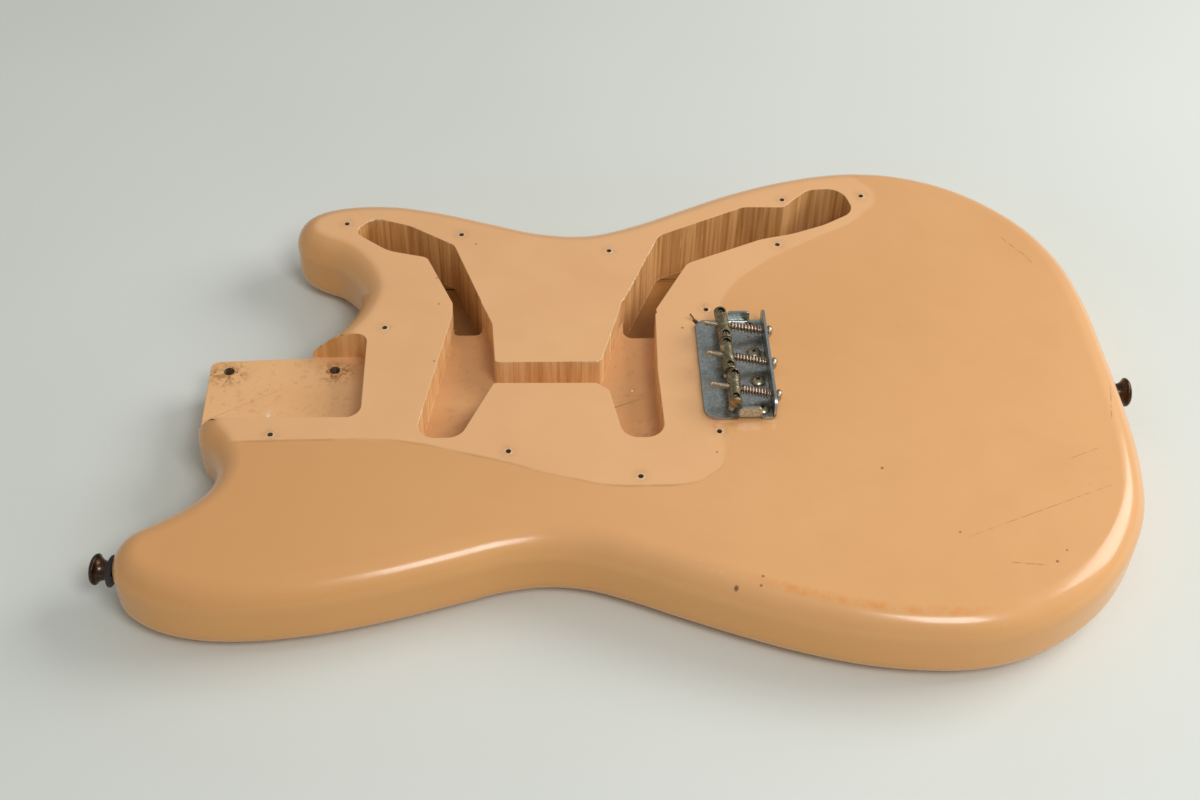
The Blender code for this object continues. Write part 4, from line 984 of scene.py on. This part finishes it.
def make_plate():
    mesh = section([(x - ORIGIN_X, z) for x, z in bend(PLATE_X0, PLATE_X1, WALL_H)], -PLATE_HALF - ORIGIN_Y, PLATE_HALF - ORIGIN_Y)
    slots, tabs = [], []
    for s in (1, -1):
        tab = section([(y - ORIGIN_Y, z) for y, z in bend(s * 25.0, s * PLATE_HALF, TAB_H)], TAB_X0 - ORIGIN_X, TAB_X1 - ORIGIN_X, "X")
        y = s * PLATE_HALF - ORIGIN_Y
        tab = carve(tab, [section(quarter(x - d * 1.8 - ORIGIN_X, TOP + TAB_H - 1.8, d, 1.8), y - 3, y + 3) for x, d in ((TAB_X0, -1), (TAB_X1, 1))])
        tabs.append(tab)
        slots.append(paint(moved(wedge((TAB_X1 - TAB_X0, 6.0, 4.0), (0, 0, 0)), Matrix.Translation(P((TAB_X0 + TAB_X1) / 2, s * (PLATE_HALF + 1.0), Z0 + 0.6))), PLATE))
    mesh = carve(mesh, slots)
    mesh = carve(mesh, tabs, "UNION")
    r = 6.0
    tool = [(PLATE_X0 + r - r * math.cos(w), -PLATE_HALF + r - r * math.sin(w)) for w in np.radians(np.linspace(0, 90, 16))]
    tool += [(PLATE_X0 + r, -PLATE_HALF - 1), (PLATE_X0 - 1, -PLATE_HALF - 1), (PLATE_X0 - 1, -PLATE_HALF + r)]
    cuts = [cutter(tool, Z0 - 1, Z1 + 1, PLATE), cutter([
        (PLATE_X0 - 1, PLATE_HALF - 3.0), (PLATE_X0 + 0.15, PLATE_HALF - 3.0), (PLATE_X0 + 3.1, PLATE_HALF - 0.15),
        (PLATE_X0 + 3.1, PLATE_HALF + 1), (PLATE_X0 - 1, PLATE_HALF + 1)], Z0 - 1, Z1 + 1, PLATE)]
    for s in (1, -1):
        cuts.append(section(quarter(s * (PLATE_HALF - 5.0) - ORIGIN_Y, TOP + WALL_H - 5.0, s, 5.0), PLATE_X1 - 4 - ORIGIN_X, PLATE_X1 + 2 - ORIGIN_X, "X"))
    for x, y in MOUNT_SCREWS:
        cuts.append(paint(moved(rod(1.9, 3.2, 32), Matrix.Translation(P(x, y, Z0 - 1))), PLATE))
    for x, y, skew, lean in SADDLES.values():
        cuts.append(paint(moved(rod(2.0, 8, 36), frame_at(P(PLATE_X1 - 5, y, TOP + HOLE_H), Vector((0, 0, 1)), Vector((1, 0, 0)))), PLATE))
    return soften(carve(mesh, cuts), 0.22)


piece("bent_bridge_plate", make_plate(), "guitar_body", "bridge_plate")


# ------------------------------------------------- screws that hold the plate
def cross(size, z, turn):
    """Two tapered bars of a cross recess, seen from above."""
    return [paint(moved(wedge(size, (0, 0, z), 0.45), Matrix.Rotation(math.radians(turn + 90 * j), 4, "Z")), DIRT) for j in range(2)]


for i, (x, y) in enumerate(MOUNT_SCREWS):
    dome = [(0.0, 1.45), (0.6, 1.43), (1.2, 1.38), (1.75, 1.27), (2.2, 1.12), (2.65, 0.89), (3.0, 0.62), (3.28, 0.34), (3.42, 0.18), (3.45, 0.09), (3.43, 0.0)]
    head = lathe(dome + [(1.3, 0.0), (1.3, -15.0), (0.55, -16.6), (0.0, -16.9)], 64)
    head = carve(paint(head, OLIVE), cross((3.3, 0.78, 1.7), 1.3, (20, 65, 47, 12)[i]))
    piece(f"cross_head_{i + 1}", smoothed(moved(head, Matrix.Translation(P(x, y, Z1 + 0.3)))), "guitar_body", f"bridge_screw_{i + 1}")

# ------------------------------------------------- saddles, screws, springs
for key, (cx, hy, skew, lean) in SADDLES.items():
    hole = P(HINGE_X, hy, TOP + HOLE_H)
    reach = (HINGE_X - cx) / math.cos(math.radians(skew))
    rise = BARREL_H - HOLE_H
    tilt = math.atan2(rise, reach)
    u = Vector((-math.cos(tilt) * math.cos(math.radians(skew)), math.cos(tilt) * math.sin(math.radians(skew)), math.sin(tilt)))
    square = Vector((0, 0, 1)).cross(u).normalized()
    up_ = u.cross(square)
    if up_.z < 0:
        up_ = -up_
    length = math.hypot(reach, rise)
    centre = hole + u * length * MM
    side = Matrix.Rotation(math.radians(skew - lean), 3, up_) @ square
    barrel = Matrix((up_.cross(side), up_, side)).transposed().to_4x4()
    if barrel.determinant() < 0:
        barrel = Matrix((side.cross(up_), up_, side)).transposed().to_4x4()
    barrel.translation = centre
    h = BARREL_L / 2
    solid = lathe([(0, h), (BARREL_R - 0.32, h), (BARREL_R - 0.12, h - 0.06), (BARREL_R - 0.03, h - 0.18), (BARREL_R, h - 0.35),
                   (BARREL_R, -h + 0.35), (BARREL_R - 0.03, -h + 0.18), (BARREL_R - 0.12, -h + 0.06), (BARREL_R - 0.32, -h), (0, -h)], 96)
    tools = [paint(moved(rod(SCREW_R + 0.3, 10, 40), frame_at(centre - u * 5 * MM, square, u)), DIRT)]
    spots = {}
    for n, s in (("a", 1), ("b", -1)):
        q = centre + side * s * HEIGHT_Y * MM
        spots[n] = (s, q)
        tools.append(paint(moved(rod(HEIGHT_R + 0.3, 10, 40), frame_at(q - up_ * 5 * MM, side, up_)), DIRT))
    mesh = carve(moved(paint(solid, BRASS), barrel), tools)
    piece(f"barrel_{key}", smoothed(mesh), f"saddle_{key}", f"saddle_{key}")
    for n, (s, q) in spots.items():
        foot = (q.z / MM - (Z1 + TIP_GAP)) / up_.z
        rows = [(0.0, 0.45, 0), (0.15, HEIGHT_R - 0.75, 0), (0.5, HEIGHT_R - 0.4, 0)] + thread_rows(0.9, HEIGHT_L, HEIGHT_R, 0.25)
        screw = carve(paint(threaded(rows), SCREW), [paint(moved(wedge((4, 0.6, 1.6), (0, 0, 0)), frame_at(
            Vector((0, 0, HEIGHT_L * MM)), Vector((math.cos(0.7 * s + cx), math.sin(0.7 * s + cx), 0)), Vector((0, 0, 1)))), DIRT)])
        piece(f"grub_{key}_{n}", smoothed(moved(screw, frame_at(q - up_ * foot * MM, side, up_))), f"height_{key}_{n}", f"height_screw_{key}_{n}")
    tip = length + (cx - SCREW_TIP_X) / (math.cos(tilt) * math.cos(math.radians(skew)))
    head_in = -(PLATE_X1 - HINGE_X) / math.cos(tilt) - 1.05
    rows = [(head_in - HEAD_H, 0.3, 0), (head_in - 2.25, HEAD_R * 0.3, 0), (head_in - 2.15, HEAD_R * 0.5, 0), (head_in - 1.9, HEAD_R * 0.72, 0),
            (head_in - 1.6, HEAD_R * 0.86, 0), (head_in - 1.2, HEAD_R * 0.96, 0), (head_in - 0.9, HEAD_R, 0), (head_in - 0.1, HEAD_R, 0), (head_in, HEAD_R - 0.1, 0),
            (head_in + 0.01, SCREW_R, 0)]
    screw = paint(threaded(rows + thread_rows(head_in + 0.6, tip, SCREW_R)), SCREW)
    turn = math.radians({"treble": 35, "middle": 80, "bass": 120}[key])
    screw = carve(screw, [paint(moved(wedge((8, 0.8, 2.0), (0, 0, (head_in - HEAD_H))), Matrix.Rotation(turn, 4, "Z")), DIRT)])
    piece(f"long_screw_{key}", smoothed(moved(screw, frame_at(hole, square, u))), f"intonation_{key}", f"intonation_screw_{key}")

    # spring: closed end turns, open turns between
    s0 = (HINGE_X - (PLATE_X1 - SHEET_T)) / math.cos(tilt) + 0.95
    s1 = length - BARREL_R - 0.3
    cu = bpy.data.curves.new("spring", "CURVE")
    cu.dimensions = "3D"
    cu.bevel_depth = SPRING_WIRE * MM
    cu.bevel_resolution = 4
    cu.use_fill_caps = True
    sp = cu.splines.new("POLY")
    per = 22
    n = SPRING_TURNS * per
    sp.points.add(n)
    steps = [0.86 + min(1.0, max(0.0, min(i, n - 1 - i) / per - 0.25)) * 0.9 for i in range(n)]
    scale = (s1 - s0 - 2 * SPRING_WIRE) / sum(steps)
    z = s0 + SPRING_WIRE
    for i in range(n + 1):
        a = 2 * math.pi * i / per
        sp.points[i].co = (SPRING_R * MM * math.cos(a), SPRING_R * MM * math.sin(a), z * MM, 1)
        if i < n:
            z += steps[i] * scale
    ob = bpy.data.objects.new("spring", cu)
    scene.collection.objects.link(ob)
    coil = paint(moved(curve_mesh(ob, "spring"), frame_at(hole, square, u)), SPRING)
    coil.shade_smooth()
    o = hold(f"coil_{key}", coil)
    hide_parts(f"spring_{key}")
    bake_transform(o)

# ------------------------------------------------------------ strap buttons
for key, (x, y, ax, ay) in STRAPS.items():
    a = Vector((ax, ay, 0)).normalized()
    foot = P(x, y, STRAP_Z)

    def along(d):
        return frame_at(foot + a * d * MM, Vector((0, 0, 1)), a)

    felt = lathe([(6.9, 1.1), (7.05, 1.0), (7.1, 0.85), (7.1, 0.55), (7.05, 0.4), (6.9, 0.3), (2.5, 0.3), (2.5, 1.1)], 96, closed=True)
    piece(f"felt_ring_{key}", smoothed(moved(paint(felt, FELT), along(0))), "guitar_body", f"{key}_strap_felt")
    prof = [(3.6, 8.05), (4.1, 8.04), (4.6, 8.0), (5.2, 7.85), (5.8, 7.6), (6.25, 7.33), (6.6, 7.0), (6.85, 6.62), (7.0, 6.2), (7.0, 5.97),
            (6.95, 5.75), (6.8, 5.58), (6.6, 5.45), (6.1, 5.05), (5.6, 4.6), (5.1, 3.93), (4.7, 3.2), (4.45, 2.4), (4.3, 1.6), (4.23, 0.8), (4.2, 0.0), (2.5, 0.0), (2.5, 5.7)]
    prof = [(r * 0.996, z) for r, z in prof]
    piece(f"button_{key}", smoothed(moved(paint(lathe(prof, 96, closed=True), BRONZE), along(1.4))), "guitar_body", f"{key}_strap_button")
    head = [(0.0, 9.7), (0.7, 9.68), (1.4, 9.6), (2.0, 9.45), (2.5, 9.25), (2.95, 9.0), (3.2, 8.8), (3.25, 8.6), (3.22, 8.45), (2.1, 7.2)]
    scr = lathe(head + [(1.95, 7.0), (1.95, -17.5), (0.8, -20.6), (0.0, -21.0)], 64)
    scr = carve(paint(scr, BRONZE), cross((3.3, 0.82, 1.9), 9.7, 25))
    piece(f"oval_head_{key}", smoothed(moved(scr, along(0.2))), "guitar_body", f"{key}_strap_screw")

# -------------------------------------------------------------- ground wire
hole0, hole1 = P(166.5, 22.0, TOP + 1.2), P(137.0, 40.5, TOP - 13.0)
route = [hole0 + (hole1 - hole0) * t for t in (0.62, 0.45, 0.3, 0.2, 0.13)]
route += [P(163.3, 24.6, TOP - 0.55), P(161.6, 27.2, TOP - 0.42), P(160.0, 29.7, TOP - 0.36), P(158.7, 31.7, TOP - 0.3), P(157.9, 33.0, TOP - 0.12),
          P(157.1, 34.2, TOP + 0.4), P(156.2, 35.5, TOP + 1.05), P(155.2, 36.9, TOP + 1.75)]
cu = bpy.data.curves.new("wire", "CURVE")
cu.dimensions = "3D"
cu.bevel_depth = 0.36 * MM
cu.bevel_resolution = 4
cu.use_fill_caps = True
sp = cu.splines.new("POLY")
fine = []
for i in range(len(route) - 1):
    a, b, c, d = route[max(0, i - 1)], route[i], route[i + 1], route[min(len(route) - 1, i + 2)]
    for k in range(5):
        t = k / 5
        fine.append(0.5 * ((2 * b) + (c - a) * t + (2 * a - 5 * b + 4 * c - d) * t * t + (3 * b - a - 3 * c + d) * t ** 3))
fine.append(route[-1])
sp.points.add(len(fine) - 1)
for q, v in zip(sp.points, fine):
    q.co = (*v, 1)
ob = bpy.data.objects.new("wire", cu)
scene.collection.objects.link(ob)
mesh = paint(curve_mesh(ob, "wire"), WIRE)
mesh.shade_smooth()
piece("bare_wire", mesh, "guitar_body", "ground_wire")


# --------------------------------------------------------- floor and lights
def stage():
    mesh = bpy.data.meshes.new("floor")
    s = 3.0
    mesh.from_pydata([(-s, -s, 0), (s, -s, 0), (s, s, 0), (-s, s, 0)], [], [(0, 1, 2, 3)])
    floor = bpy.data.objects.new("floor", mesh)
    floor.location.z = -0.0002
    scene.collection.objects.link(floor)
    mt = Mat("pale_paper", 0.9, 0.0, (0.70, 0.72, 0.67))
    mt.base(mt.mix(mt.span(mt.noise(3, 2), 0.3, 0.7), (0.70, 0.72, 0.66), (0.74, 0.76, 0.71)))
    mesh.materials.append(mt.m)


stage()


def area(name, loc, target, size, power, colour=(1, 1, 1)):
    d = bpy.data.lights.new(name, "AREA")
    d.shape = "RECTANGLE"
    d.size, d.size_y = size
    d.energy = power
    d.color = colour
    o = bpy.data.objects.new(name, d)
    o.location = loc
    o.rotation_euler = (Vector(target) - Vector(loc)).to_track_quat("-Z", "Y").to_euler()
    scene.collection.objects.link(o)


area("key", (0.42, -0.84, 1.30), (0, 0, 0), (0.5, 0.5), 8)
area("side", (1.25, 0.35, 0.95), (0.1, 0, 0), (1.0, 0.8), 14)
world = bpy.data.worlds.new("studio")
world.use_nodes = True
world.node_tree.nodes["Background"].inputs["Color"].default_value = (0.96, 0.98, 0.97, 1)
world.node_tree.nodes["Background"].inputs["Strength"].default_value = 0.38
scene.world = world
scene.view_settings.view_transform = "Standard"
